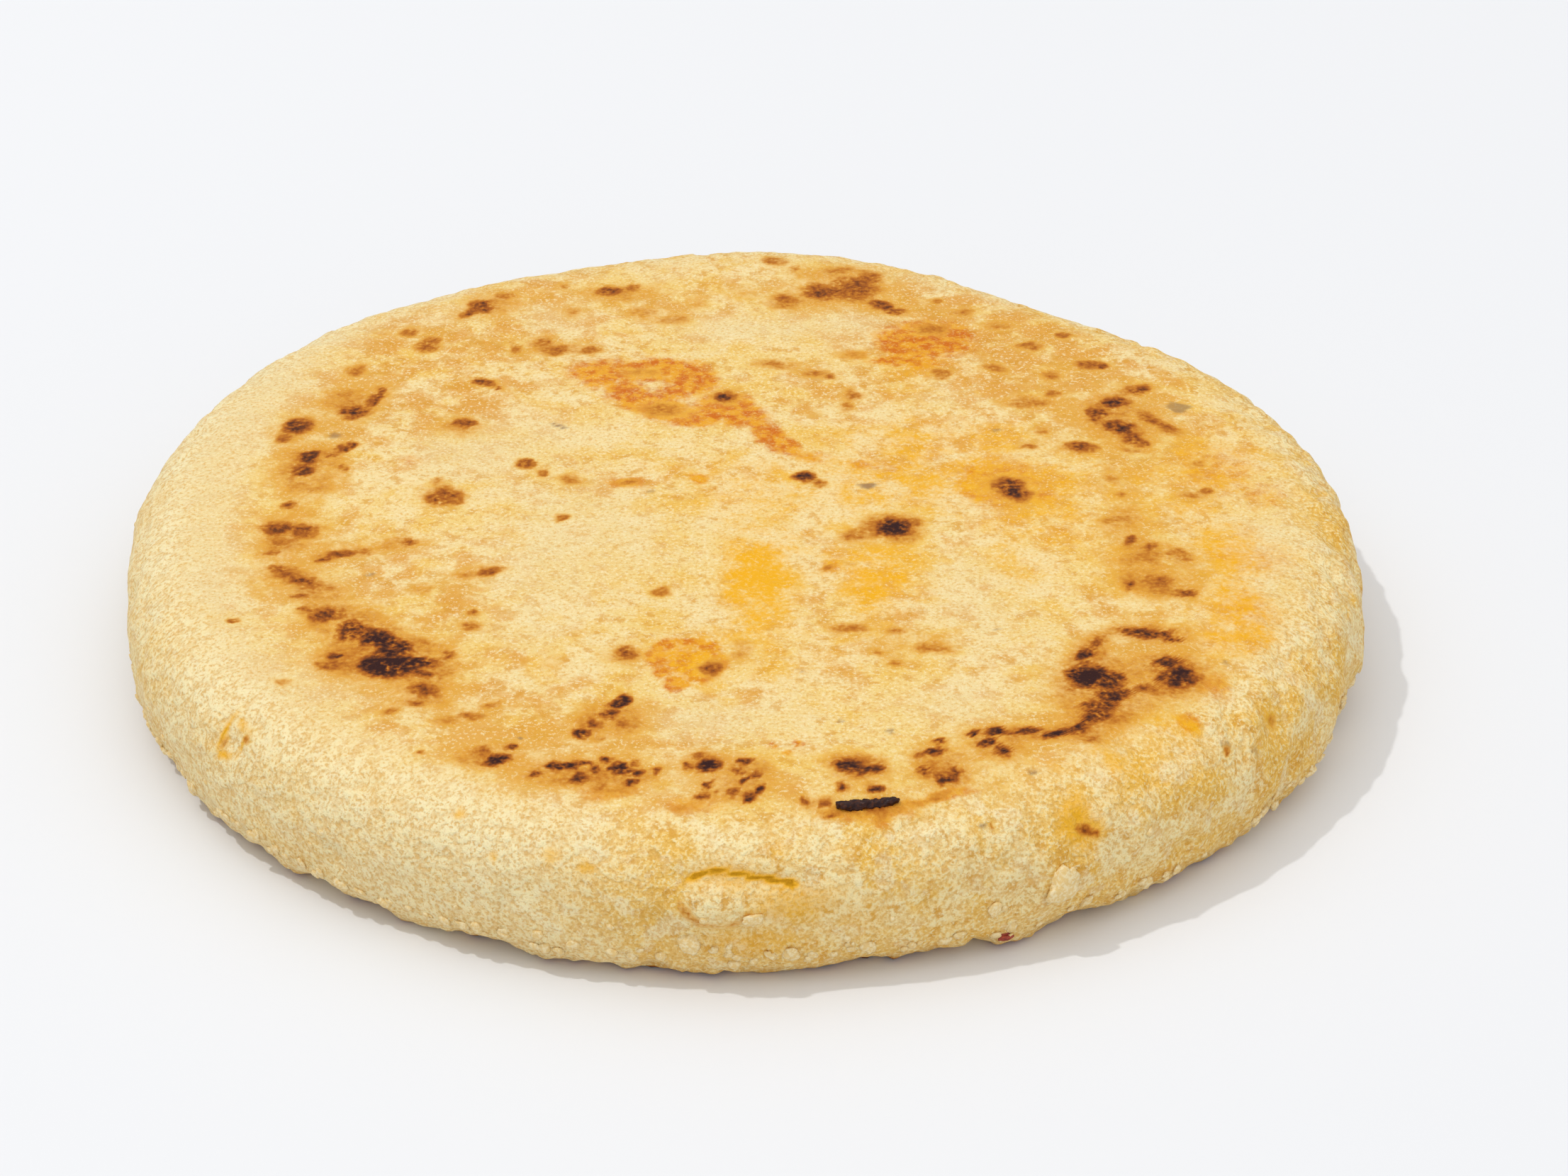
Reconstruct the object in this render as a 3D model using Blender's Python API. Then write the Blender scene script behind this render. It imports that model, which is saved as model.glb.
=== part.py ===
"""A griddled pupusa: one thick disc of corn dough, patted by hand. Metres, +Z up.

It lies on its flat underside, with the middle of its outline over the origin. The dough is one solid: a
dimpled top that the griddle has pressed flat, a rounded shoulder, a bulging wall with a ragged foot, and
a flat underside. A sliver of charred dough is fused to the front of the top.
"""

import math

import bmesh
import bpy
from mathutils import Matrix, Vector, noise

MM = 0.001

# The patted disc.
RADIUS = 62.5 * MM
THICKNESS = 15 * MM
SHOULDER = 9.5 * MM  # how far in from the widest line the top starts to fall
UNDERCUT = 5 * MM  # how far in from the widest line the flat underside starts
BELLY = 0.45 * THICKNESS  # height of the widest line
ROUNDNESS = 2.5  # exponent of the wall's curve: 2 is an ellipse, and more is squarer
PAT_CENTRE = Vector((-0.5, -0.9, 0)) * MM  # brings the middle of the uneven outline onto the origin

# How the outline strays from a circle: waves in a turn, height over the radius, a crest's angle in degrees.
OUTLINE_WAVES = (
    (2, 0.0199, -24),
    (3, 0.0087, -11),
    (4, 0.0039, -9),
    (5, 0.0092, 12),
    (6, 0.0083, 23),
    (7, 0.0030, -23),
    (8, 0.0027, -11),
)

# Unevenness that has no single cause: how far it stands out, and the width of one bump.
TOP_SWELL, TOP_SWELL_WIDTH = 0.35 * MM, 19 * MM
WALL_SWELL, WALL_SWELL_WIDTH = 0.35 * MM, 9 * MM
CRAG, CRAG_WIDTH = 0.25 * MM, 3.4 * MM
FOOT_CRAG, FOOT_CRAG_WIDTH = 0.5 * MM, 3.8 * MM
FOOT_BAND = 3.2 * MM  # the foot's crags fade out at this height

# Dents and lumps: angle in degrees and height of the middle, half width, half height, how far out, in mm.
WALL_MARKS = {
    "crease_left": (267.5, 12.0, 3.0, 0.9, -0.8),
    "crease_right": (273.0, 11.6, 3.2, 0.9, -0.6),
    "lump_under_crease": (268.5, 9.2, 3.4, 2.0, 0.9),
    "dent_under_lump": (268.0, 6.6, 3.6, 0.8, -0.4),
    "stuck_crumb": (298.4, 6.8, 1.9, 2.1, 0.9),
    "open_pit": (300.8, 11.6, 1.7, 1.1, -1.2),
    "left_crater": (220.8, 11.6, 2.3, 1.5, -1.0),
    "left_crater_lip": (217.6, 11.4, 1.4, 1.6, 0.4),
    "side_pit": (324.4, 11.8, 1.6, 1.0, -0.6),
    "folded_lip": (345.0, 6.0, 3.4, 2.6, 0.6),
    "hollow_beside_lip": (338.4, 3.4, 2.4, 3.6, -1.0),
    "bulge_before_hollow": (333.5, 7.6, 3.2, 3.0, 0.4),
    "foot_notch_right": (301.0, 0.6, 1.7, 1.5, -0.8),
    "foot_lump_right": (295.0, 0.6, 2.4, 1.6, 0.8),
    "foot_nick": (291.5, 0.4, 1.2, 1.4, -0.8),
    "foot_lump_front": (272.5, 0.6, 5.0, 1.6, 0.5),
    "foot_dip_front": (249.8, 0.7, 2.6, 1.6, -0.6),
    "foot_lump_left": (242.0, 0.7, 2.6, 1.6, 0.3),
    "foot_dip_left": (231.0, 0.8, 3.0, 1.8, -0.7),
    "foot_notch_left": (208.0, 3.4, 2.4, 1.2, -0.7),
}

# The charred sliver: middle, length, thickness, turn about Z in degrees.
SLIVER_X, SLIVER_Y = 12.3 * MM, -54.1 * MM
SLIVER_LENGTH, SLIVER_THICKNESS = 5.9 * MM, 1.1 * MM
SLIVER_TURN = 9
SLIVER_SUNK = 0.1 * MM

# How finely the solid is cut.
TOP_CELLS = 48
SHOULDER_RINGS = 9
FOOT_RINGS = 6


def reach(angle):
    """How far the outline stands from the middle at this angle, over RADIUS."""
    waves = (
        height * math.cos(count * (angle - math.radians(crest)))
        for count, height, crest in OUTLINE_WAVES
    )
    return 1 + sum(waves)


def wall_line():
    """Each ring of the wall from the shoulder down: how far in from the widest line, and its height."""
    power = 2 / ROUNDNESS
    for ring in range(1, SHOULDER_RINGS + 1):
        turn = ring / SHOULDER_RINGS * math.pi / 2
        inset = SHOULDER * (1 - math.sin(turn) ** power)
        yield inset, BELLY + (THICKNESS - BELLY) * math.cos(turn) ** power
    for ring in range(1, FOOT_RINGS + 1):
        turn = ring / FOOT_RINGS * math.pi / 2
        inset = UNDERCUT * (1 - math.cos(turn) ** power)
        yield inset, BELLY * (1 - math.sin(turn) ** power)


def ring_point(angle, inset, height):
    out = (RADIUS - inset) * reach(angle)
    return Vector((out * math.cos(angle), out * math.sin(angle), height))


def patted_disc():
    """The smooth disc, closed below by its flat underside."""
    bm = bmesh.new()
    bmesh.ops.create_grid(bm, x_segments=TOP_CELLS, y_segments=TOP_CELLS, size=1)
    for vert in bm.verts:
        x, y, _ = vert.co
        round_x = x * math.sqrt(1 - y * y / 2)
        round_y = y * math.sqrt(1 - x * x / 2)
        out = math.hypot(round_x, round_y)
        angle = math.atan2(round_y, round_x)
        vert.co = ring_point(angle, 0, THICKNESS)
        vert.co.xy *= out * (RADIUS - SHOULDER) / RADIUS
    edge = [e for e in bm.edges if e.is_boundary]
    for inset, height in wall_line():
        made = bmesh.ops.extrude_edge_only(bm, edges=edge)["geom"]
        for vert in (v for v in made if isinstance(v, bmesh.types.BMVert)):
            angle = math.atan2(vert.co.y, vert.co.x)
            vert.co = ring_point(angle, inset, height)
        edge = [e for e in made if isinstance(e, bmesh.types.BMEdge) and e.is_boundary]
    bmesh.ops.contextual_create(bm, geom=edge)
    bmesh.ops.recalc_face_normals(bm, faces=bm.faces)
    return bm


def lumps(point, width):
    """Smooth, random unevenness from -1 to 1, with bumps of this width."""
    return noise.noise(point / width)


def wall_mark_push(angle, height):
    """How far the named dents and lumps move the wall at this place."""
    push = 0
    for middle, level, half_width, half_height, out in WALL_MARKS.values():
        away = (angle - math.radians(middle) + math.pi) % (2 * math.pi) - math.pi
        along = away * RADIUS / (half_width * MM)
        up = (height - level * MM) / (half_height * MM)
        push += out * MM * math.exp(-along * along - up * up)
    return push


def relief(point):
    """How far the dough stands out from the smooth disc at this place."""
    angle = math.atan2(point.y, point.x)
    out = math.hypot(point.x, point.y) / reach(angle)
    on_wall = min(max((out - RADIUS + SHOULDER) / SHOULDER, 0), 1)
    at_foot = max(1 - point.z / FOOT_BAND, 0)
    push = TOP_SWELL * (1 - on_wall) * lumps(point, TOP_SWELL_WIDTH)
    push += WALL_SWELL * on_wall * lumps(point, WALL_SWELL_WIDTH)
    push += CRAG * (0.3 + 0.7 * on_wall) * lumps(point, CRAG_WIDTH)
    push += FOOT_CRAG * at_foot * lumps(point, FOOT_CRAG_WIDTH)
    return push + on_wall * wall_mark_push(angle, point.z)


def roughen(bm):
    """Moves the skin out and in by its relief, and leaves the underside flat."""
    bm.normal_update()
    moved = {vert: vert.co + vert.normal * relief(vert.co) for vert in bm.verts}
    for vert, place in moved.items():
        if vert.co.z > 0:
            vert.co = place
            vert.co.z = max(place.z, 0)
        else:
            vert.co.xy *= 1 + relief(vert.co) / vert.co.length


def add_object(name, bm, collection):
    mesh = bpy.data.meshes.new(name)
    bm.to_mesh(mesh)
    bm.free()
    made = bpy.data.objects.new(name, mesh)
    collection.objects.link(made)
    return made


def charred_sliver(collection):
    """A thin roll of dough that tore off, charred and stuck down again."""
    bm = bmesh.new()
    bmesh.ops.create_uvsphere(bm, u_segments=10, v_segments=9, radius=0.5)
    bmesh.ops.scale(bm, vec=(SLIVER_THICKNESS, SLIVER_THICKNESS, SLIVER_LENGTH), verts=bm.verts)
    bmesh.ops.rotate(bm, verts=bm.verts, matrix=Matrix.Rotation(math.pi / 2, 3, "Y"))
    bmesh.ops.rotate(bm, verts=bm.verts, matrix=Matrix.Rotation(math.radians(SLIVER_TURN), 3, "Z"))
    middle = Vector((SLIVER_X, SLIVER_Y, THICKNESS - SLIVER_SUNK))
    bmesh.ops.translate(bm, verts=bm.verts, vec=middle + PAT_CENTRE)
    return add_object("charred_sliver", bm, collection)


def fuse(whole, piece):
    """Makes the piece part of the whole."""
    union = whole.modifiers.new("fuse", "BOOLEAN")
    union.operation = "UNION"
    union.object = piece
    with bpy.context.temp_override(object=whole, active_object=whole):
        bpy.ops.object.modifier_apply(modifier=union.name)
    bpy.data.objects.remove(piece)


def masa_material():
    """Cooked corn dough: pale, creamy yellow and dull."""
    material = bpy.data.materials.new("masa")
    material.use_nodes = True
    shader = material.node_tree.nodes["Principled BSDF"]
    shader.inputs["Base Color"].default_value = (0.85, 0.63, 0.29, 1)
    shader.inputs["Roughness"].default_value = 0.7
    shader.inputs["Metallic"].default_value = 0
    return material


def build():
    for old in list(bpy.data.objects):
        bpy.data.objects.remove(old)
    collection = bpy.data.collections.new("pupusa")
    bpy.context.scene.collection.children.link(collection)
    bm = patted_disc()
    roughen(bm)
    bmesh.ops.translate(bm, verts=bm.verts, vec=PAT_CENTRE)
    pupusa = add_object("pupusa", bm, collection)
    pupusa.data.materials.append(masa_material())
    fuse(pupusa, charred_sliver(collection))


build()
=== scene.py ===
"""A griddled pupusa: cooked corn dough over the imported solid, on a plain pale floor in soft light."""

import math
import random

import bmesh
import bpy
import numpy as np
from mathutils import Matrix, Vector, noise
from mathutils.bvhtree import BVHTree


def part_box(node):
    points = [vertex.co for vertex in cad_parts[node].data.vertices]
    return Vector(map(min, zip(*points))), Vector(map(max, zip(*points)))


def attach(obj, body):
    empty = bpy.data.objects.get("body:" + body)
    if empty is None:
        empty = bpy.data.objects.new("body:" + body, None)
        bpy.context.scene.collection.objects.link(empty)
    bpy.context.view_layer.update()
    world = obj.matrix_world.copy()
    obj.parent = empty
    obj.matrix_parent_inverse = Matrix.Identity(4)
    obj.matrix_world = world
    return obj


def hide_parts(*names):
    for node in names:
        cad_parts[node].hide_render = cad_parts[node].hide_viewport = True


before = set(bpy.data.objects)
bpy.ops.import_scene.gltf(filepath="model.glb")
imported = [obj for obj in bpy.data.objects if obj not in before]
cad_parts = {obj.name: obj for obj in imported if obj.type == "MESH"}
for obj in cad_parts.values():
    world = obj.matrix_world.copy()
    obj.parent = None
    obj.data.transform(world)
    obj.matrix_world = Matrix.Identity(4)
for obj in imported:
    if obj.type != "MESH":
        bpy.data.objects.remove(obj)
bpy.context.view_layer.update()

# ------------------------------------------------------------------------------------- the disc of dough
# A ball of corn dough closed round its filling and patted out between two hands, then cooked on a griddle.
# The griddle has pressed the top and the underside flat. The shoulder is round, and the wall bulges and
# crumbles as the hands left it, with a ragged foot.

MM = 0.001
RADIUS = 62.5 * MM
THICKNESS = 15 * MM
SHOULDER = 9.5 * MM
UNDERCUT = 5 * MM
BELLY = 0.45 * THICKNESS
ROUNDNESS = 2.5
PAT_CENTRE = Vector((-0.5, -0.9, 0)) * MM

# How the outline strays from a circle: waves in a turn, height over the radius, a crest's angle in degrees.
OUTLINE_WAVES = (
    (2, 0.0199, -24),
    (3, 0.0087, -11),
    (4, 0.0039, -9),
    (5, 0.0092, 12),
    (6, 0.0083, 23),
    (7, 0.0030, -23),
    (8, 0.0027, -11),
)

# Unevenness, as how far it stands out and the width of one bump.
TOP_SWELL = (0.35 * MM, 19 * MM)
WALL_SWELL = (0.35 * MM, 9 * MM)
CRAG = (0.25 * MM, 3.4 * MM)
FOOT_CRAG = (0.5 * MM, 3.8 * MM)
PAT_DIMPLE = (0.12 * MM, 5.5 * MM)
TOP_PORE = (0.05 * MM, 1.5 * MM)
WALL_CRUMB = (0.16 * MM, 2.4 * MM)
WALL_GRIT = (0.12 * MM, 1.1 * MM)
WALL_PIT = (0.45 * MM, 3.1 * MM)
PIT_FROM, PIT_RISE = 0.35, 0.4  # noise above the first value makes a pit, full depth by this much more
CRUMB_TOP = 0.5  # how far in from its crease a crumb levels off, over its width
CRAG_ON_TOP = 0.3  # the share of the crags that is left on the flat top
WALL_ROUGHENS = 1.6  # how much sooner than the wall itself its roughness is full
SIDE_RAG = (0.5 * MM, 2.6 * MM)
SIDE_RAG_MIDDLE = math.radians(-5)  # the side that crumbled most
FOOT_RAG = (0.4 * MM, 1.4 * MM)
FOOT_COBBLE = (0.5 * MM, 1.7 * MM)
FOOT_BAND = 3.2 * MM

# Dents and lumps: angle in degrees and height of the middle, half width, half height, how far out, in mm.
WALL_MARKS = {
    "crease_left": (268.5, 11.6, 3.0, 0.8, -0.9),
    "crease_right": (274.0, 11.2, 3.2, 0.8, -0.7),
    "lump_under_crease": (269.5, 8.9, 3.4, 2.0, 0.9),
    "dent_under_lump": (269.0, 6.4, 3.6, 0.8, -0.4),
    "stuck_crumb": (298.4, 6.8, 1.9, 2.1, 0.9),
    "open_pit": (300.8, 11.6, 1.7, 1.1, -0.6),
    "left_crater": (220.8, 11.6, 2.3, 1.5, -1.0),
    "left_crater_lip": (217.6, 11.4, 1.4, 1.6, 0.4),
    "side_pit": (324.4, 11.8, 1.6, 1.0, -0.6),
    "folded_lip": (345.0, 6.0, 3.4, 2.6, 0.6),
    "hollow_beside_lip": (338.4, 3.4, 2.4, 3.6, -1.0),
    "bulge_before_hollow": (333.5, 7.6, 3.2, 3.0, 0.4),
    "foot_notch_right": (301.0, 0.6, 1.7, 1.5, -0.8),
    "foot_lump_right": (295.0, 0.6, 2.4, 1.6, 0.8),
    "foot_nick": (291.5, 0.4, 1.2, 1.4, -0.8),
    "foot_lump_front": (272.5, 0.6, 5.0, 1.6, 0.5),
    "foot_dip_front": (249.8, 0.7, 2.6, 1.6, -0.6),
    "foot_lump_left": (242.0, 0.7, 2.6, 1.6, 0.3),
    "foot_dip_left": (231.0, 0.8, 3.0, 1.8, -0.7),
    "foot_notch_left": (208.0, 3.4, 2.4, 1.2, -0.7),
}

TOP_CELLS = 200
UNDERSIDE_CELLS = TOP_CELLS // 2
SHOULDER_RINGS = 30
FOOT_RINGS = 18
WELD = 0.01 * MM
UNDERSIDE_HOLLOW, HOLLOW_WIDTH, SMALL_HOLLOW_WIDTH = 0.35 * MM, 8 * MM, 3 * MM
HOLLOW_SPREAD = 0.1  # the higher, the more of the underside is hollow


def reach(angle):
    """How far the outline stands from the middle at this angle, over RADIUS."""
    waves = (
        height * math.cos(count * (angle - math.radians(crest)))
        for count, height, crest in OUTLINE_WAVES
    )
    return 1 + sum(waves)


def wall_line():
    """Each ring of the wall from the shoulder down: how far in from the widest line, and its height."""
    power = 2 / ROUNDNESS
    for ring in range(1, SHOULDER_RINGS + 1):
        turn = ring / SHOULDER_RINGS * math.pi / 2
        inset = SHOULDER * (1 - math.sin(turn) ** power)
        yield inset, BELLY + (THICKNESS - BELLY) * math.cos(turn) ** power
    for ring in range(1, FOOT_RINGS + 1):
        turn = ring / FOOT_RINGS * math.pi / 2
        inset = UNDERCUT * (1 - math.cos(turn) ** power)
        yield inset, BELLY * (1 - math.sin(turn) ** power)


def ring_point(angle, inset, height):
    out = (RADIUS - inset) * reach(angle)
    return Vector((out * math.cos(angle), out * math.sin(angle), height))


def round_off(verts, inset, height):
    """Turns a grid of side 2 into the uneven disc, at this height and this far in from the widest line."""
    for vert in verts:
        x, y, _ = vert.co
        round_x = x * math.sqrt(1 - y * y / 2)
        round_y = y * math.sqrt(1 - x * x / 2)
        out = math.hypot(round_x, round_y)
        vert.co = ring_point(math.atan2(round_y, round_x), 0, height)
        vert.co.xy *= out * (RADIUS - inset) / RADIUS


def patted_disc():
    """The smooth disc: underside, top, and the wall drawn down from the top's edge to the underside's."""
    bm = bmesh.new()
    bmesh.ops.create_grid(bm, x_segments=UNDERSIDE_CELLS, y_segments=UNDERSIDE_CELLS, size=1)
    bmesh.ops.subdivide_edges(bm, edges=[e for e in bm.edges if e.is_boundary], cuts=1)
    round_off(bm.verts, UNDERCUT, 0)
    rim = [v for v in bm.verts if v.is_boundary]
    top = bmesh.ops.create_grid(bm, x_segments=TOP_CELLS, y_segments=TOP_CELLS, size=1)["verts"]
    round_off(top, SHOULDER, THICKNESS)
    edge = [e for e in bm.edges if e.is_boundary and e.verts[0].co.z > BELLY]
    for inset, height in wall_line():
        made = bmesh.ops.extrude_edge_only(bm, edges=edge)["geom"]
        foot = [v for v in made if isinstance(v, bmesh.types.BMVert)]
        for vert in foot:
            vert.co = ring_point(math.atan2(vert.co.y, vert.co.x), inset, height)
        edge = [e for e in made if isinstance(e, bmesh.types.BMEdge) and e.is_boundary]
    bmesh.ops.remove_doubles(bm, verts=rim + foot, dist=WELD)
    bmesh.ops.recalc_face_normals(bm, faces=bm.faces)
    return bm


def bumps(point, bump, shift=0):
    """Random unevenness of this height and width."""
    height, width = bump
    return height * noise.noise(point / width + Vector((shift, shift, shift)))


def crumbs(point, bump):
    """Rounded crumbs packed side by side, with creases between them."""
    height, width = bump
    nearest, second = noise.voronoi(point / width)[0][:2]
    return height * (min(second - nearest, CRUMB_TOP) - CRUMB_TOP / 2)


def pits(point, bump):
    """A few small hollows with sound dough between them."""
    depth, width = bump
    return -depth * max(noise.noise(point / width + Vector((7, 3, 5))) - PIT_FROM, 0) / PIT_RISE


def wall_mark_push(angle, height):
    """How far the named dents and lumps move the wall at this place."""
    push = 0
    for middle, level, half_width, half_height, out in WALL_MARKS.values():
        away = (angle - math.radians(middle) + math.pi) % (2 * math.pi) - math.pi
        along = away * RADIUS / (half_width * MM)
        up = (height - level * MM) / (half_height * MM)
        push += out * MM * math.exp(-along * along - up * up)
    return push


def wall_share(point):
    """0 on the flat top, 1 from the widest line down."""
    out = math.hypot(point.x, point.y) / reach(math.atan2(point.y, point.x))
    return min(max((out - RADIUS + SHOULDER) / SHOULDER, 0), 1)


def relief(point):
    """How far the dough stands out from the smooth disc at this place."""
    angle = math.atan2(point.y, point.x)
    on_wall = wall_share(point)
    at_foot = max(1 - point.z / FOOT_BAND, 0)
    pressed = bumps(point, TOP_SWELL) + bumps(point, PAT_DIMPLE) + bumps(point, TOP_PORE)
    push = (1 - on_wall) * pressed
    push += (CRAG_ON_TOP + (1 - CRAG_ON_TOP) * on_wall) * bumps(point, CRAG)
    foot = bumps(point, FOOT_CRAG) + bumps(point, FOOT_RAG, shift=3) + crumbs(point, FOOT_COBBLE)
    push += at_foot * foot
    if on_wall == 0:
        return push
    push += on_wall * (bumps(point, WALL_SWELL) + wall_mark_push(angle, point.z))
    rough = min(on_wall * WALL_ROUGHENS, 1)
    push += rough * max(math.cos(angle - SIDE_RAG_MIDDLE), 0) * bumps(point, SIDE_RAG, shift=2)
    fine = crumbs(point, WALL_CRUMB) + bumps(point, WALL_GRIT, shift=5) + pits(point, WALL_PIT)
    return push + rough * fine


def roughen(bm):
    """Moves the skin out and in by its relief. The underside only dimples upwards, and so rests flat."""
    bm.normal_update()
    moved = {vert: vert.co + vert.normal * relief(vert.co) for vert in bm.verts if vert.co.z > 0}
    for vert in bm.verts:
        if vert.co.z > 0:
            vert.co = moved[vert]
            vert.co.z = max(vert.co.z, 0)
            continue
        at_rim = any(other.co.z > 0 for other in (e.other_vert(vert) for e in vert.link_edges))
        if at_rim:
            vert.co.xy *= 1 + relief(vert.co) / vert.co.length
        else:
            wide = noise.noise(vert.co / HOLLOW_WIDTH)
            hollow = wide + 0.5 * noise.noise(vert.co / SMALL_HOLLOW_WIDTH)
            vert.co.z = UNDERSIDE_HOLLOW * min(max(hollow + HOLLOW_SPREAD, 0), 1)


def keep_in_box(bm):
    """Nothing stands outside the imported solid's box."""
    low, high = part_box("pupusa")
    for vert in bm.verts:
        vert.co = Vector(min(max(value, low[i]), high[i]) for i, value in enumerate(vert.co))


def put_in_order(bm):
    """Numbers the mesh by place, because merging numbers it differently each time it runs."""
    verts = sorted(bm.verts, key=lambda vert: vert.co[:])
    faces = sorted(bm.faces, key=lambda face: face.calc_center_median()[:])
    for number, part in (*enumerate(verts), *enumerate(faces)):
        part.index = number
    bm.verts.sort()
    bm.faces.sort()


def add_piece(name, bm):
    """Makes the mesh a piece that goes with the whole, and smooths its faces."""
    mesh = bpy.data.meshes.new(name)
    bm.to_mesh(mesh)
    bm.free()
    mesh.shade_smooth()
    piece = bpy.data.objects.new(name, mesh)
    bpy.context.scene.collection.objects.link(piece)
    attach(piece, "root")
    return piece


disc_bm = patted_disc()
roughen(disc_bm)
bmesh.ops.translate(disc_bm, verts=disc_bm.verts, vec=PAT_CENTRE)
keep_in_box(disc_bm)
put_in_order(disc_bm)
disc_surface = BVHTree.FromBMesh(disc_bm)
disc = add_piece("masa_disc", disc_bm)
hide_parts("pupusa")

# ------------------------------------------------------------------------------------ the griddle's marks
# Where the dough touched hot iron it scorched: freckles and blotches from tan through brown to black, in a
# ring just inside the shoulder where the disc stood proudest. Cheese and fat that seeped out cooked to orange
# and yellow stains. Each mark is x, y, length, width in mm from the patting centre, its turn in degrees, and
# how strong it is, from 0 for clean dough to 1 for black.

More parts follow.
